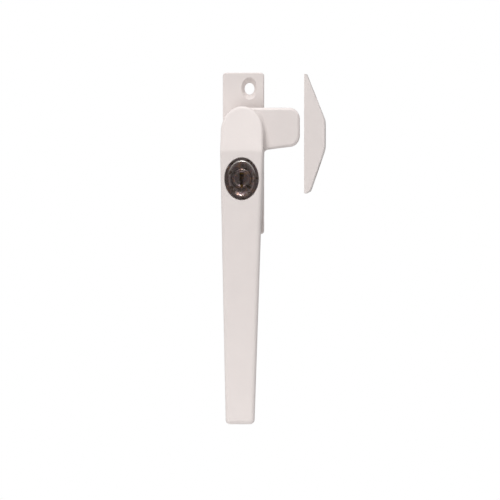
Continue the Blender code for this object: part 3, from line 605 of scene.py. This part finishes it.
def chrome_painted_highlight():
    """Chrome whose colour grows from dark to near white up the crown's step: a painted highlight of
    the lamps above.
    """
    skin = Nodes("worn_chrome_skin")
    split = skin.add("ShaderNodeSeparateXYZ")
    skin.link(skin.place, split.inputs["Vector"])
    low, high = HIGHLIGHT_HEIGHT
    height = skin.add("ShaderNodeMapRange", From_Min=LOCK_Z + low, From_Max=LOCK_Z + high)
    skin.link(split.outputs["Z"], height.inputs["Value"])
    # painted highlight: dark low on the step, near white high on it
    stops = ((0.0, (0.16, 0.12, 0.11, 1.0)), (1.0, (0.86, 0.83, 0.80, 1.0)))
    skin.link(skin.ramp(height.outputs["Result"], stops), skin.sockets["Base Color"])
    skin.link(skin.spread(skin.noise(900.0, detail=4.0), 0.22, 0.34), skin.sockets["Roughness"])
    skin.link(skin.bump(skin.noise(900.0, detail=5.0), 0.000003), skin.sockets["Normal"])
    skin.set(Metallic=1.0)
    return skin.material


def metal(name, low, high, roughness, grain, stretch=(1.0, 1.0, 1.0)):
    """A bare metal whose tone, roughness and surface follow one grain."""
    skin = Nodes(name)
    pattern = skin.noise(grain, detail=5.0, stretch=stretch)
    skin.link(skin.ramp(pattern, ((0.3, low), (0.7, high))), skin.sockets["Base Color"])
    skin.link(skin.spread(pattern, roughness - 0.07, roughness + 0.07), skin.sockets["Roughness"])
    skin.link(skin.bump(pattern, 0.000003), skin.sockets["Normal"])
    skin.set(Metallic=1.0)
    return skin.material


def nylon_skin():
    """Natural moulded nylon."""
    skin = Nodes("nylon_skin")
    tone = skin.noise(500.0, detail=4.0)
    stops = ((0.3, (0.74, 0.72, 0.66, 1.0)), (0.7, (0.80, 0.78, 0.72, 1.0)))
    skin.link(skin.ramp(tone, stops), skin.sockets["Base Color"])
    skin.link(skin.spread(tone, 0.45, 0.6), skin.sockets["Roughness"])
    skin.link(skin.bump(skin.noise(2500.0), 0.000004), skin.sockets["Normal"])
    skin.set(Subsurface_Weight=0.15, Subsurface_Scale=0.0006)
    return skin.material


# Base plate

def screw_hole(centre):
    """Cutter for an oval countersunk hole with a softened lip."""
    rings = []
    for grow, depth in COUNTERSINK_LIP:
        radii = tuple(size + grow for size in COUNTERSINK)
        rings.append(at_depth(oval(centre, radii), PLATE_FRONT + depth))
    for depth in (COUNTERSINK_FLOOR, OVERCUT):
        rings.append(at_depth(oval(centre, SCREW_SLOT), depth))
    return loft(rings)


def hub():
    """The round boss that the lever turns on."""
    front = PLATE_LOW.y
    profile = (
        (HUB_RADIUS, PLATE_FRONT / 2.0),
        (HUB_RADIUS, front + HUB_EDGE),
        (HUB_RADIUS - HUB_EDGE, front),
    )
    return turned(PIVOT, profile)


def cut_hub(plate):
    """The lug's well, the bolt's two notches, the ball's hole, the bore and its recess."""
    ahead = PLATE_LOW.y - OVERCUT
    rim = HUB_RADIUS + OVERCUT
    half = NOTCH_HALF_WIDTH
    well = pivot_sector(STOP_RADIUS, rim, *STOP_SPAN)
    low_notch = rectangle(-half, half, PIVOT_Z - rim, PIVOT_Z - NOTCH_REACH)
    side_notch = rectangle(-rim, -NOTCH_REACH, PIVOT_Z - half, PIVOT_Z + half)
    ball_hole = disc(around_pivot(DETENT_RADIUS, DETENT_ANGLE), DETENT_HOLE, COARSE)
    cut(plate, prism(well, WELL_BACK, ahead))
    cut(plate, prism(low_notch, NOTCH_BACK, ahead))
    cut(plate, prism(side_notch, NOTCH_BACK, ahead))
    cut(plate, prism(ball_hole, DETENT_HOLE_BACK, ahead))
    cut(plate, prism(disc(PIVOT, HUB_BORE), OVERCUT, ahead))
    cut(plate, turned(PIVOT, HUB_RECESS))


def base_plate(paint):
    """Plate with soft edges, its screw holes and the notched hub."""
    low = (PLATE_LOW.x, PLATE_LOW.z)
    high = (PLATE_HIGH.x, PLATE_HIGH.z)
    outline = rounded_rectangle(low, high, PLATE_CORNER)
    blank = rounded_prism(outline, 0.0, PLATE_FRONT, PLATE_BACK_EDGE, PLATE_EDGE)
    plate = add_object("plate_casting", blank)
    join(plate, hub())
    cut_hub(plate)
    cut(plate, screw_hole(SCREW_PLACE))
    cut(plate, screw_hole((-SCREW_PLACE[0], -SCREW_PLACE[1])))
    finish(plate, [paint], "base", ["base_plate"])


# Lever

def front_depth(z):
    """Depth of the lever's front face, with a softened crease below the boss."""
    rise = (APEX_Y - CREASE_Y) / (LEVER_HIGH.z - CREASE_Z)
    fall = (LEVER_END_Y - CREASE_Y) / (CREASE_Z - LEVER_LOW.z)
    away = z - CREASE_Z
    bend = math.hypot(away, CREASE_SOFTNESS) - CREASE_SOFTNESS
    return CREASE_Y + 0.5 * (rise - fall) * away + 0.5 * (rise + fall) * bend


def back_depth(z):
    """Depth of the lever's back: deep over the plate, then raised behind the grip."""
    for (z_high, y_high), (z_low, y_low) in zip(LEVER_BACK_LINE, LEVER_BACK_LINE[1:]):
        if z >= z_low:
            return y_high + (y_low - y_high) * (z_high - z) / (z_high - z_low)
    return LEVER_BACK_LINE[-1][1]


def lever_side(side, z):
    """X of the lever's left (-1) or right (+1) side at a height below the pivot."""
    index = max(side, 0)
    at_crease = LEVER_CREASE_SIDES[index]
    if z > CREASE_Z:
        share = (z - CREASE_Z) / (PIVOT_Z - CREASE_Z)
        return at_crease + share * (side * BOSS_HALF_WIDTH - at_crease)
    share = (CREASE_Z - z) / (CREASE_Z - LEVER_LOW.z)
    return at_crease + share * (LEVER_END_SIDES[index] - at_crease)


def lever_edge(z):
    """Size of the front's rounded edge at a height: small round the boss, larger below it."""
    share = min(max((CREASE_Z - z) / (CREASE_Z - SKIRT_END_Z), 0.0), 1.0)
    return BOSS_EDGE + share * (LEVER_EDGE - BOSS_EDGE)


def side_stations():
    """Heights along the lever's straight sides, close together where its faces bend."""
    low = LEVER_LOW.z + LEVER_CORNER
    rise = GRIP_STEPS_TOP - low
    stations = [low + rise * step / GRIP_STEPS for step in range(1, GRIP_STEPS)]
    stations += BACK_STATIONS
    stations += [CREASE_Z + offset for offset in CREASE_STATIONS]
    return stations


def half_outline(side):
    """One side of the lever's outline, from the end to just short of the apex."""
    low = LEVER_LOW.z + LEVER_CORNER
    centre = (lever_side(side, low) - side * LEVER_CORNER, low)
    corner = arc(centre, (side * LEVER_CORNER, LEVER_CORNER), -90.0, 0.0, EDGE_STEPS)
    straight = [(lever_side(side, z), z) for z in side_stations()]
    dome = arc(PIVOT, (side * BOSS_HALF_WIDTH, BOSS_HALF_HEIGHT), 0.0, DOME_END, FINE // 2)
    return corner + straight + dome


def lever_blank():
    """The lever before its hollows, with rounded edges and a softly folded front."""
    outline = half_outline(1) + half_outline(-1)[::-1]
    rings = []
    for inwards, lift in reversed(quarter(LEVER_BACK_EDGE_STEPS)):
        ring = inset(outline, LEVER_BACK_EDGE * inwards)
        rings.append([(x, back_depth(z) - LEVER_BACK_EDGE * lift, z) for x, z in ring])
    mitres = inset(outline, 1.0)
    for inwards, lift in quarter(LEVER_EDGE_STEPS):
        ring = []
        for (x, z), (inner_x, inner_z) in zip(outline, mitres):
            edge = lever_edge(z)
            new_x = x + edge * inwards * (inner_x - x)
            new_z = z + edge * inwards * (inner_z - z)
            ring.append((new_x, front_depth(new_z) + edge * lift, new_z))
        rings.append(ring)
    shape = loft(rings, caps=False)
    shape.verts.ensure_lookup_table()
    count = len(outline)
    cap_rows(shape, shape.verts[:count])
    cap_rows(shape, shape.verts[-count:])
    bmesh.ops.recalc_face_normals(shape, faces=shape.faces)
    return shape


def tongue():
    """The cockspur: a flat nose with a round end, flaring into the lever below."""
    end = LEVER_HIGH.x
    top = (end - TONGUE_CORNER[0], TONGUE_TOP_Z - TONGUE_CORNER[1])
    low = (end - TONGUE_CORNER[0], TONGUE_LOW_Z + TONGUE_CORNER[1])
    side = lever_side(1, TONGUE_ROOT_Z - ROOT_FILLET)
    root = (side + ROOT_FILLET, TONGUE_ROOT_Z - ROOT_FILLET + ROOT_OVERLAP)
    outline = [(0.0, root[1]), (side - ROOT_OVERLAP, root[1])]
    outline += arc(root, (ROOT_FILLET, ROOT_FILLET), 180.0, 90.0 + TONGUE_TILT, EDGE_STEPS)
    outline += arc(low, TONGUE_CORNER, TONGUE_TILT - 90.0, 0.0, TONGUE_CORNER_STEPS)
    outline += arc(top, TONGUE_CORNER, 0.0, 90.0, TONGUE_CORNER_STEPS)
    outline += [(0.0, TONGUE_TOP_Z)]
    return rounded_prism(outline, TONGUE_BACK, TONGUE_FRONT, LEVER_BACK_EDGE, TONGUE_EDGE)


def fillet_section(radius):
    """(distance off the boss's side, depth) points of a concave bead of one radius."""
    behind = TONGUE_FRONT + FACE_FILLET_SINK
    section = [(-FACE_FILLET_SINK, behind), (-FACE_FILLET_SINK, TONGUE_FRONT - radius)]
    for inwards, lift in quarter(SMALL_EDGE_STEPS):
        away = radius * inwards - FACE_FILLET_OVERLAP
        section.append((away, TONGUE_FRONT - radius * lift + FACE_FILLET_OVERLAP))
    section.append((radius, behind))
    return section


def tongue_fillet():
    """Concave bead where the tongue's face runs into the side of the boss."""
    start, end = FACE_FILLET_ARC
    rings = []
    for step in range(FACE_FILLET_STEPS + 1):
        angle = math.radians(start + (end - start) * step / FACE_FILLET_STEPS)
        across = math.cos(angle)
        up = math.sin(angle)
        outwards = Vector((across / BOSS_HALF_WIDTH, up / BOSS_HALF_HEIGHT)).normalized()
        from_end = min(step, FACE_FILLET_STEPS - step) / FACE_FILLET_TAPER_STEPS
        radius = FACE_FILLET * min(1.0, from_end + FACE_FILLET_END_SHARE)
        ring = []
        for away, y in fillet_section(radius):
            x = BOSS_HALF_WIDTH * across + outwards.x * away
            z = PIVOT_Z + BOSS_HALF_HEIGHT * up + outwards.y * away
            ring.append((x, y, z))
        rings.append(ring)
    return loft(rings)


def grip_pockets():
    """Cutters for the hollows in the grip's back, with a rib between neighbours."""
    lowest = LEVER_LOW.z + GRIP_END_WALL - GRIP_RIB
    pitch = (GRIP_POCKET_TOP - lowest) / GRIP_POCKET_COUNT
    shapes = []
    for index in range(GRIP_POCKET_COUNT):
        high = GRIP_POCKET_TOP - pitch * index
        low = high - pitch + GRIP_RIB
        left_low = lever_side(-1, low) + GRIP_WALL
        right_low = lever_side(1, low) - GRIP_WALL
        left_high = lever_side(-1, high) + GRIP_WALL
        right_high = lever_side(1, high) - GRIP_WALL
        outline = [(left_low, low), (right_low, low), (right_high, high), (left_high, high)]
        shapes.append(prism(outline, 0.0, GRIP_POCKET_FLOOR))
    return shapes


def cut_boss_recess(lever):
    """Round recess over the hub, with the click-stop track, end-stop lug and spindle socket."""
    behind = BOSS_RECESS_FLOOR + OVERLAP
    cut(lever, prism(disc(PIVOT, BOSS_RECESS_RADIUS), 0.0, BOSS_RECESS_FLOOR))
    ends = (DETENT_ANGLE, DETENT_ANGLE + DETENT_TURN)
    inner = DETENT_RADIUS - TRACK_HALF_WIDTH
    outer = DETENT_RADIUS + TRACK_HALF_WIDTH
    cut(lever, prism(pivot_sector(inner, outer, *ends), behind, BOSS_RECESS_FLOOR - TRACK_DEPTH))
    for angle in ends:
        dimple = disc(around_pivot(DETENT_RADIUS, angle), DIMPLE_RADIUS, COARSE)
        cut(lever, prism(dimple, behind, BOSS_RECESS_FLOOR - DIMPLE_DEPTH))
    lug_low = STOP_RADIUS + LUG_GAP
    lug_high = BOSS_RECESS_RADIUS + LUG_ROOT
    lug = pivot_sector(lug_low, lug_high, LUG_HALF_ANGLE, -LUG_HALF_ANGLE, LUG_STEPS)
    join(lever, prism(lug, LUG_BACK, BOSS_RECESS_FLOOR - LUG_SINK))
    cut(lever, prism(disc(PIVOT, SPINDLE_SOCKET_RADIUS, COARSE), 0.0, SPINDLE_SOCKET_END))


def cut_lock_chamber(lever):
    """The cylinder's seat in front, and the bolt's chamber behind its cover."""
    seat = (CYLINDER_HIGH.x + SEAT_GAP, CYLINDER_HIGH.z - LOCK_Z + SEAT_GAP)
    rings = [at_depth(oval(LOCK, seat), FLANGE_BACK + SEAT_GAP)]
    for grow, depth in SEAT_LIP:
        outline = oval(LOCK, (seat[0] + grow, seat[1] + grow))
        rings.append([(x, front_depth(z) + depth, z) for x, z in outline])
    cut(lever, loft(rings))
    cut(lever, prism(disc(LOCK, BARREL_RADIUS + SEAT_GAP), 0.0, CREASE_Y - OVERCUT))
    half = CHAMBER_HALF_WIDTH
    cut(lever, prism(rectangle(-half, half, *CHAMBER_Z), 0.0, CHAMBER_FLOOR))
    half = CHANNEL_HALF_WIDTH
    channel_top = PIVOT_Z - BOSS_RECESS_RADIUS + OVERLAP
    channel = rectangle(-half, half, CHAMBER_Z[1] - OVERCUT, channel_top)
    cut(lever, prism(channel, 0.0, CHANNEL_FLOOR))
    cover_x = (COVER_LOW.x - COVER_GAP, COVER_HIGH.x + COVER_GAP)
    cover_z = (COVER_LOW.z - COVER_GAP, COVER_HIGH.z + COVER_GAP)
    cut(lever, prism(rectangle(*cover_x, *cover_z), 0.0, COVER_LOW.y - COVER_SINK))
    for place in COVER_SCREWS:
        cut(lever, prism(disc(place, COVER_SCREW_RADIUS, COARSE), 0.0, COVER_SCREW_END))


def handle_lever(paint):
    """One painted casting: boss, tongue, lock housing and grip."""
    lever = add_object("lever_casting", lever_blank())
    join(lever, tongue())
    join(lever, tongue_fillet())
    for pocket in grip_pockets():
        cut(lever, pocket)
    cut_boss_recess(lever)
    cut_lock_chamber(lever)
    finish(lever, [paint], "lever", ["handle_lever"])


# Key cylinder

def flange_profile():
    """(distance in from the edge, depth) pairs: the side, the rim and the step up to the crown."""
    face = CYLINDER_LOW.y
    rim = face + RIM_DROP
    profile = [(0.0, FLANGE_BACK), (0.0, rim + RIM_ROUND)]
    for inwards, lift in quarter(SMALL_EDGE_STEPS)[1:]:
        profile.append((RIM_ROUND * inwards, rim + RIM_ROUND * lift))
    profile.append((RIM_WIDTH, rim - RIM_RISE))
    slope = CROWN_WIDTH - CROWN_ROUND
    climb = RIM_DROP - RIM_RISE
    for share in (0.25, 0.5, 0.75, 1.0):
        profile.append((RIM_WIDTH + slope * share, face + climb * (1.0 - CROWN_SLOPE_SHARE * share)))
    profile.append((RIM_WIDTH + slope + 0.5 * CROWN_ROUND, face + climb * (1.0 - CROWN_ROUND_SHARE)))
    profile.append((RIM_WIDTH + CROWN_WIDTH, face))
    return profile


def flange_rings():
    """Ovals over the flange from its back to the crown, then the dish down to the plug."""
    outer = (CYLINDER_HIGH.x, CYLINDER_HIGH.z - LOCK_Z)
    bore = PLUG_RADIUS + PLUG_GAP
    rings = []
    for inwards, depth in flange_profile():
        rings.append(at_depth(oval(LOCK, (outer[0] - inwards, outer[1] - inwards)), depth))
    crown = [size - RIM_WIDTH - CROWN_WIDTH for size in outer]
    for step in range(1, DISH_STEPS + 1):
        share = step / DISH_STEPS
        radii = tuple(size + (bore - size) * share for size in crown)
        depth = CYLINDER_LOW.y + DISH_DEPTH * (1.0 - (1.0 - share) ** 2)
        rings.append(at_depth(oval(LOCK, radii), depth))
    return rings


def mark_highlight_faces(body):
    """Give the second material, the painted highlight, to the crown's sloping step, inboard of the
    rim.
    """
    for face in body.data.polygons:
        x = face.center.x
        z = face.center.z - LOCK_Z
        outwards = face.normal.x * x + face.normal.z * z > 0.0
        reach = (x / CYLINDER_HIGH.x) ** 2 + (z / (CYLINDER_HIGH.z - LOCK_Z)) ** 2
        if outwards and reach < HIGHLIGHT_REACH and HIGHLIGHT_LEAN[0] < -face.normal.y < HIGHLIGHT_LEAN[1]:
            face.material_index = 1


def lock_cylinder(chrome, highlight_skin):
    """Oval flange with a beaded rim and a dished face, on its barrel."""
    rings = flange_rings()
    bore = PLUG_RADIUS + PLUG_GAP
    tail = TAIL_RADIUS + PLUG_GAP
    inside = ((bore, BARREL_SHOULDER), (tail, BARREL_SHOULDER), (tail, CYLINDER_HIGH.y))
    outside = (
        (BARREL_RADIUS, CYLINDER_HIGH.y),
        (BARREL_RADIUS, CLIP_GROOVE[1]),
        (CLIP_GROOVE_RADIUS, CLIP_GROOVE[1]),
        (CLIP_GROOVE_RADIUS, CLIP_GROOVE[0]),
        (BARREL_RADIUS, CLIP_GROOVE[0]),
        (BARREL_RADIUS, FLANGE_BACK),
    )
    for radius, depth in inside + outside:
        rings.append(at_depth(disc(LOCK, radius), depth))
    body = add_object("cylinder_body", loft(rings, closed=True))
    finish(body, [chrome, highlight_skin], "lever", ["lock_cylinder_body"])
    mark_highlight_faces(body)


def keyway_outline(grow=0.0):
    """Narrow slot with a wider head, as (x, z) points."""
    half = KEYWAY_HALF_WIDTH + grow
    head = KEYWAY_HEAD_HALF + grow
    low = LOCK_Z + KEYWAY_LOW - grow
    step = LOCK_Z + KEYWAY_HEAD_LOW - grow
    high = LOCK_Z + KEYWAY_HIGH + grow
    slot = [(-half, low), (half, low), (half, step)]
    return slot + [(head, step), (head, high), (-head, high), (-head, step), (-half, step)]


def cut_wafer_slots(plug):
    """A slot right across the plug for each wafer, with a pocket for its spring."""
    half, reach, lift = WAFER_SLOT
    pocket_x, pocket_z, pocket_half = SPRING_POCKET
    slot = rectangle(-half, half, LOCK_Z - reach, LOCK_Z + reach)
    pocket = rectangle(0.0, pocket_x, LOCK_Z - pocket_z, LOCK_Z + pocket_z)
    for index in range(WAFER_COUNT):
        depth = WAFER_FIRST_Y + WAFER_PITCH * index
        cut(plug, prism(slot, depth + lift, depth - lift))
        cut(plug, prism(pocket, depth + pocket_half, depth - pocket_half))


def mark_brass_faces(plug):
    """Give the second material to the walls of the keyway's lower part; the walls above keep the
    chrome as painted shade.
    """
    for face in plug.data.polygons:
        x, y, z = face.center
        inside = abs(x) < BRASS_X and BRASS_Z[0] < z - LOCK_Z < BRASS_Z[1]
        along = PLUG_LOW.y + BRASS_SETBACK < y < BRASS_END
        if inside and along and abs(face.normal.y) < BRASS_LEAN:
            face.material_index = 1


def lock_plug(chrome, brass):
    """Plated plug with a shallow eye and a brass keyway that flares at its mouth."""
    front = PLUG_LOW.y
    profile = tuple((radius, front + depth) for radius, depth in PLUG_FACE) + (
        (PLUG_RADIUS, BARREL_SHOULDER - SEAT_GAP),
        (TAIL_RADIUS, BARREL_SHOULDER - SEAT_GAP),
        (TAIL_RADIUS, TAIL_GROOVE[0]),
        (TAIL_GROOVE_RADIUS, TAIL_GROOVE[0]),
        (TAIL_GROOVE_RADIUS, TAIL_GROOVE[1]),
        (TAIL_RADIUS, TAIL_GROOVE[1]),
        (TAIL_RADIUS, TAIL_END),
    )
    plug = add_object("plug_core", turned(LOCK, profile))
    lean = math.radians(DRIVE_PIN_LEAN)
    pin_place = (-DRIVE_PIN_OFFSET * math.cos(lean), LOCK_Z - DRIVE_PIN_OFFSET * math.sin(lean))
    join(plug, prism(disc(pin_place, DRIVE_PIN_RADIUS, COARSE), PLUG_HIGH.y, TAIL_END - OVERLAP))
    cut(plug, prism(keyway_outline(), KEYWAY_END, front - OVERCUT))
    mouth_front = at_depth(keyway_outline(KEYWAY_FLARE), front + KEYWAY_MOUTH[0])
    mouth_back = at_depth(keyway_outline(), front + KEYWAY_MOUTH[1])
    cut(plug, loft([mouth_front, mouth_back]))
    cut_wafer_slots(plug)
    finish(plug, [chrome, brass], "plug", ["lock_plug"])
    mark_brass_faces(plug)


# Strike wedge

def wedge_front(z):
    """X of the wedge's working side: two ramps, a flat crest and a rounded lower toe."""
    crest_low, crest_high = WEDGE_CREST
    up = (WEDGE_HIGH.x - WEDGE_LOW.x - WEDGE_TOP_TOE) / (WEDGE_HIGH.z - crest_high)
    down = (WEDGE_HIGH.x - WEDGE_LOW.x - WEDGE_LOW_TOE) / (crest_low - WEDGE_LOW.z)
    drop = 0.0
    for ramp in ((z - crest_high) * up, (crest_low - z) * down):
        drop += 0.5 * (ramp + math.hypot(ramp, WEDGE_CREST_SOFTNESS))
    toe = WEDGE_TOE_ROUND - (z - WEDGE_LOW.z)
    if toe > 0.0:
        drop += WEDGE_TOE_ROUND - math.sqrt(WEDGE_TOE_ROUND ** 2 - toe ** 2)
    return WEDGE_HIGH.x - drop


def wedge_section(z):
    """Cross-section of the wedge at a height: crisp at the back, round at the front."""
    low = WEDGE_LOW.x
    high = min(wedge_front(z), WEDGE_HIGH.x)
    radius = min(WEDGE_EDGE, WEDGE_EDGE_LIMIT * (high - low))
    small = radius * WEDGE_BACK_SHARE
    corners = (
        ((high - radius, WEDGE_HIGH.y - radius), radius, 0.0),
        ((low + small, WEDGE_HIGH.y - small), small, 90.0),
        ((low + small, WEDGE_LOW.y + small), small, 180.0),
        ((high - radius, WEDGE_LOW.y + radius), radius, 270.0),
    )
    points = []
    for centre, size, start in corners:
        points += arc(centre, (size, size), start, start + 90.0, SMALL_EDGE_STEPS)
    return [(x, y, z) for x, y in points]


def strike_wedge(paint):
    """The wedge on its back, with a countersunk screw hole through each ramp."""
    span = WEDGE_HIGH.z - WEDGE_LOW.z
    heights = [WEDGE_LOW.z + span * step / WEDGE_SECTIONS for step in range(WEDGE_SECTIONS + 1)]
    wedge = add_object("wedge_casting", loft([wedge_section(z) for z in heights]))
    middle = (WEDGE_LOW.y + WEDGE_HIGH.y) / 2.0
    head_start, head_end, ahead = WEDGE_HEAD_X
    steps = (
        (WEDGE_LOW.x - OVERCUT, WEDGE_SCREW_RADIUS),
        (head_start, WEDGE_SCREW_RADIUS),
        (head_end, WEDGE_HEAD_RADIUS),
        (ahead, WEDGE_HEAD_RADIUS),
    )
    for screw_z in WEDGE_SCREW_Z:
        rings = []
        for x, radius in steps:
            rings.append([(x, y, z) for y, z in disc((middle, screw_z), radius, COARSE)])
        cut(wedge, loft(rings))
    finish(wedge, [paint], "strike", ["strike_wedge"])


# Camera, light and floor

def add_camera():
    """Long lens a little to the right of square on."""
    data = bpy.data.cameras.new("camera")
    data.sensor_width = CAMERA_SENSOR
    data.lens = CAMERA_SENSOR * CAMERA_DISTANCE / FRAME_HEIGHT
    camera = bpy.data.objects.new("camera", data)
    bpy.context.scene.collection.objects.link(camera)
    aside = math.radians(CAMERA_ASIDE)
    away = Vector((math.sin(aside), -math.cos(aside), 0.0))
    camera.location = Vector(CAMERA_AIM) + away * CAMERA_DISTANCE
    camera.rotation_mode = "QUATERNION"
    camera.rotation_quaternion = (-away).to_track_quat("-Z", "Y")
    bpy.context.scene.camera = camera


def area_light(name, place, size, energy, glossy):
    """A soft box aimed at the middle of the object, which may stay out of reflections."""
    data = bpy.data.lights.new(name, "AREA")
    data.shape = "RECTANGLE"
    data.size, data.size_y = size
    data.energy = energy
    light = bpy.data.objects.new(name, data)
    bpy.context.scene.collection.objects.link(light)
    light.visible_glossy = glossy
    light.location = place
    aim = Vector(LIGHT_AIM) - Vector(place)
    light.rotation_mode = "QUATERNION"
    light.rotation_quaternion = aim.to_track_quat("-Z", "Y")


def add_world():
    """White to the camera; for everything else a soft sky that is dim on the room's side."""
    world = bpy.data.worlds.new("studio")
    bpy.context.scene.world = world
    world.use_nodes = True
    tree = world.node_tree
    tree.nodes.clear()
    output = tree.nodes.new("ShaderNodeOutputWorld")
    mix = tree.nodes.new("ShaderNodeMixShader")
    path = tree.nodes.new("ShaderNodeLightPath")
    seen = tree.nodes.new("ShaderNodeBackground")
    seen.inputs["Color"].default_value = grey(1.0)
    seen.inputs["Strength"].default_value = 1.0
    lit = tree.nodes.new("ShaderNodeBackground")
    lit.inputs["Strength"].default_value = 1.0
    place = tree.nodes.new("ShaderNodeTexCoord")
    split = tree.nodes.new("ShaderNodeSeparateXYZ")
    ramp = tree.nodes.new("ShaderNodeValToRGB")
    spread = tree.nodes.new("ShaderNodeMapRange")
    spread.inputs["From Min"].default_value = -1.0
    spread.inputs["From Max"].default_value = 1.0
    for element, (position, tone) in zip(ramp.color_ramp.elements, SKY_STOPS):
        element.position = position
        element.color = grey(tone)
    tree.links.new(place.outputs["Generated"], split.inputs["Vector"])
    tree.links.new(split.outputs["Y"], spread.inputs["Value"])
    tree.links.new(spread.outputs["Result"], ramp.inputs["Fac"])
    tree.links.new(ramp.outputs["Color"], lit.inputs["Color"])
    tree.links.new(path.outputs["Is Camera Ray"], mix.inputs["Fac"])
    tree.links.new(lit.outputs["Background"], mix.inputs[1])
    tree.links.new(seen.outputs["Background"], mix.inputs[2])
    tree.links.new(mix.outputs["Shader"], output.inputs["Surface"])


def add_floor():
    """A small pale floor under the object, below the front view."""
    floor = add_object("floor", prism(disc((0.0, 0.0), FLOOR_RADIUS), 0.0, -FLOOR_THICKNESS))
    floor.rotation_euler = (math.radians(90.0), 0.0, 0.0)
    floor.location = FLOOR_PLACE
    skin = Nodes("floor_skin")
    tone = skin.ramp(skin.noise(30.0), ((0.3, grey(0.78)), (0.7, grey(0.82))))
    skin.link(tone, skin.sockets["Base Color"])
    skin.set(Roughness=0.8)
    floor.data.materials.append(skin.material)


def dress_frame_nodes(skins):
    """Materials for the CAD nodes that stay."""
    for name, node in frame["nodes"].items():
        for prefix, skin in skins.items():
            if name.startswith(prefix):
                node.data.materials.clear()
                node.data.materials.append(skin)


def bare_metals():
    """Brass, zinc plate, spring steel and the polished ball, each with its grain."""
    brass = metal(
        "brass_skin", (0.36, 0.21, 0.07, 1.0), (0.52, 0.33, 0.13, 1.0),
        roughness=0.34, grain=900.0, stretch=(1.0, 0.2, 1.0),
    )
    zinc = metal(
        "zinc_skin", (0.55, 0.55, 0.54, 1.0), (0.63, 0.63, 0.63, 1.0),
        roughness=0.34, grain=900.0, stretch=(1.0, 1.0, 0.15),
    )
    spring = metal(
        "spring_steel_skin", (0.30, 0.30, 0.31, 1.0), (0.42, 0.42, 0.43, 1.0),
        roughness=0.3, grain=1200.0, stretch=(1.0, 1.0, 0.2),
    )
    polished = metal(
        "ball_skin", (0.62, 0.62, 0.64, 1.0), (0.70, 0.70, 0.72, 1.0),
        roughness=0.12, grain=900.0,
    )
    return brass, zinc, spring, polished


def main():
    """Build every piece, then the camera, the light and the floor."""
    bpy.context.scene.view_settings.view_transform = "Standard"
    paint = white_paint()
    chrome = chrome_painted_dark_reflections()
    brass, zinc, spring, polished = bare_metals()
    base_plate(paint)
    handle_lever(paint)
    lock_cylinder(chrome, chrome_painted_highlight())
    lock_plug(chrome, brass)
    strike_wedge(paint)
    dress_frame_nodes({
        "detent_ball": polished,
        "detent_spring": spring,
        "spindle_bush": nylon_skin(),
        "flat_washer": zinc,
        "wave_washer": spring,
        "pivot_spindle": zinc,
        "retaining_ring": spring,
        "cylinder_clip": spring,
        "lock_cover": zinc,
        "cover_screw": zinc,
        "wafer_": brass,
        "wafer_spring": spring,
        "plug_circlip": spring,
        "locking_bolt": zinc,
    })
    add_camera()
    add_world()
    for lamp in LIGHTS:
        area_light(*lamp)
    add_floor()


main()
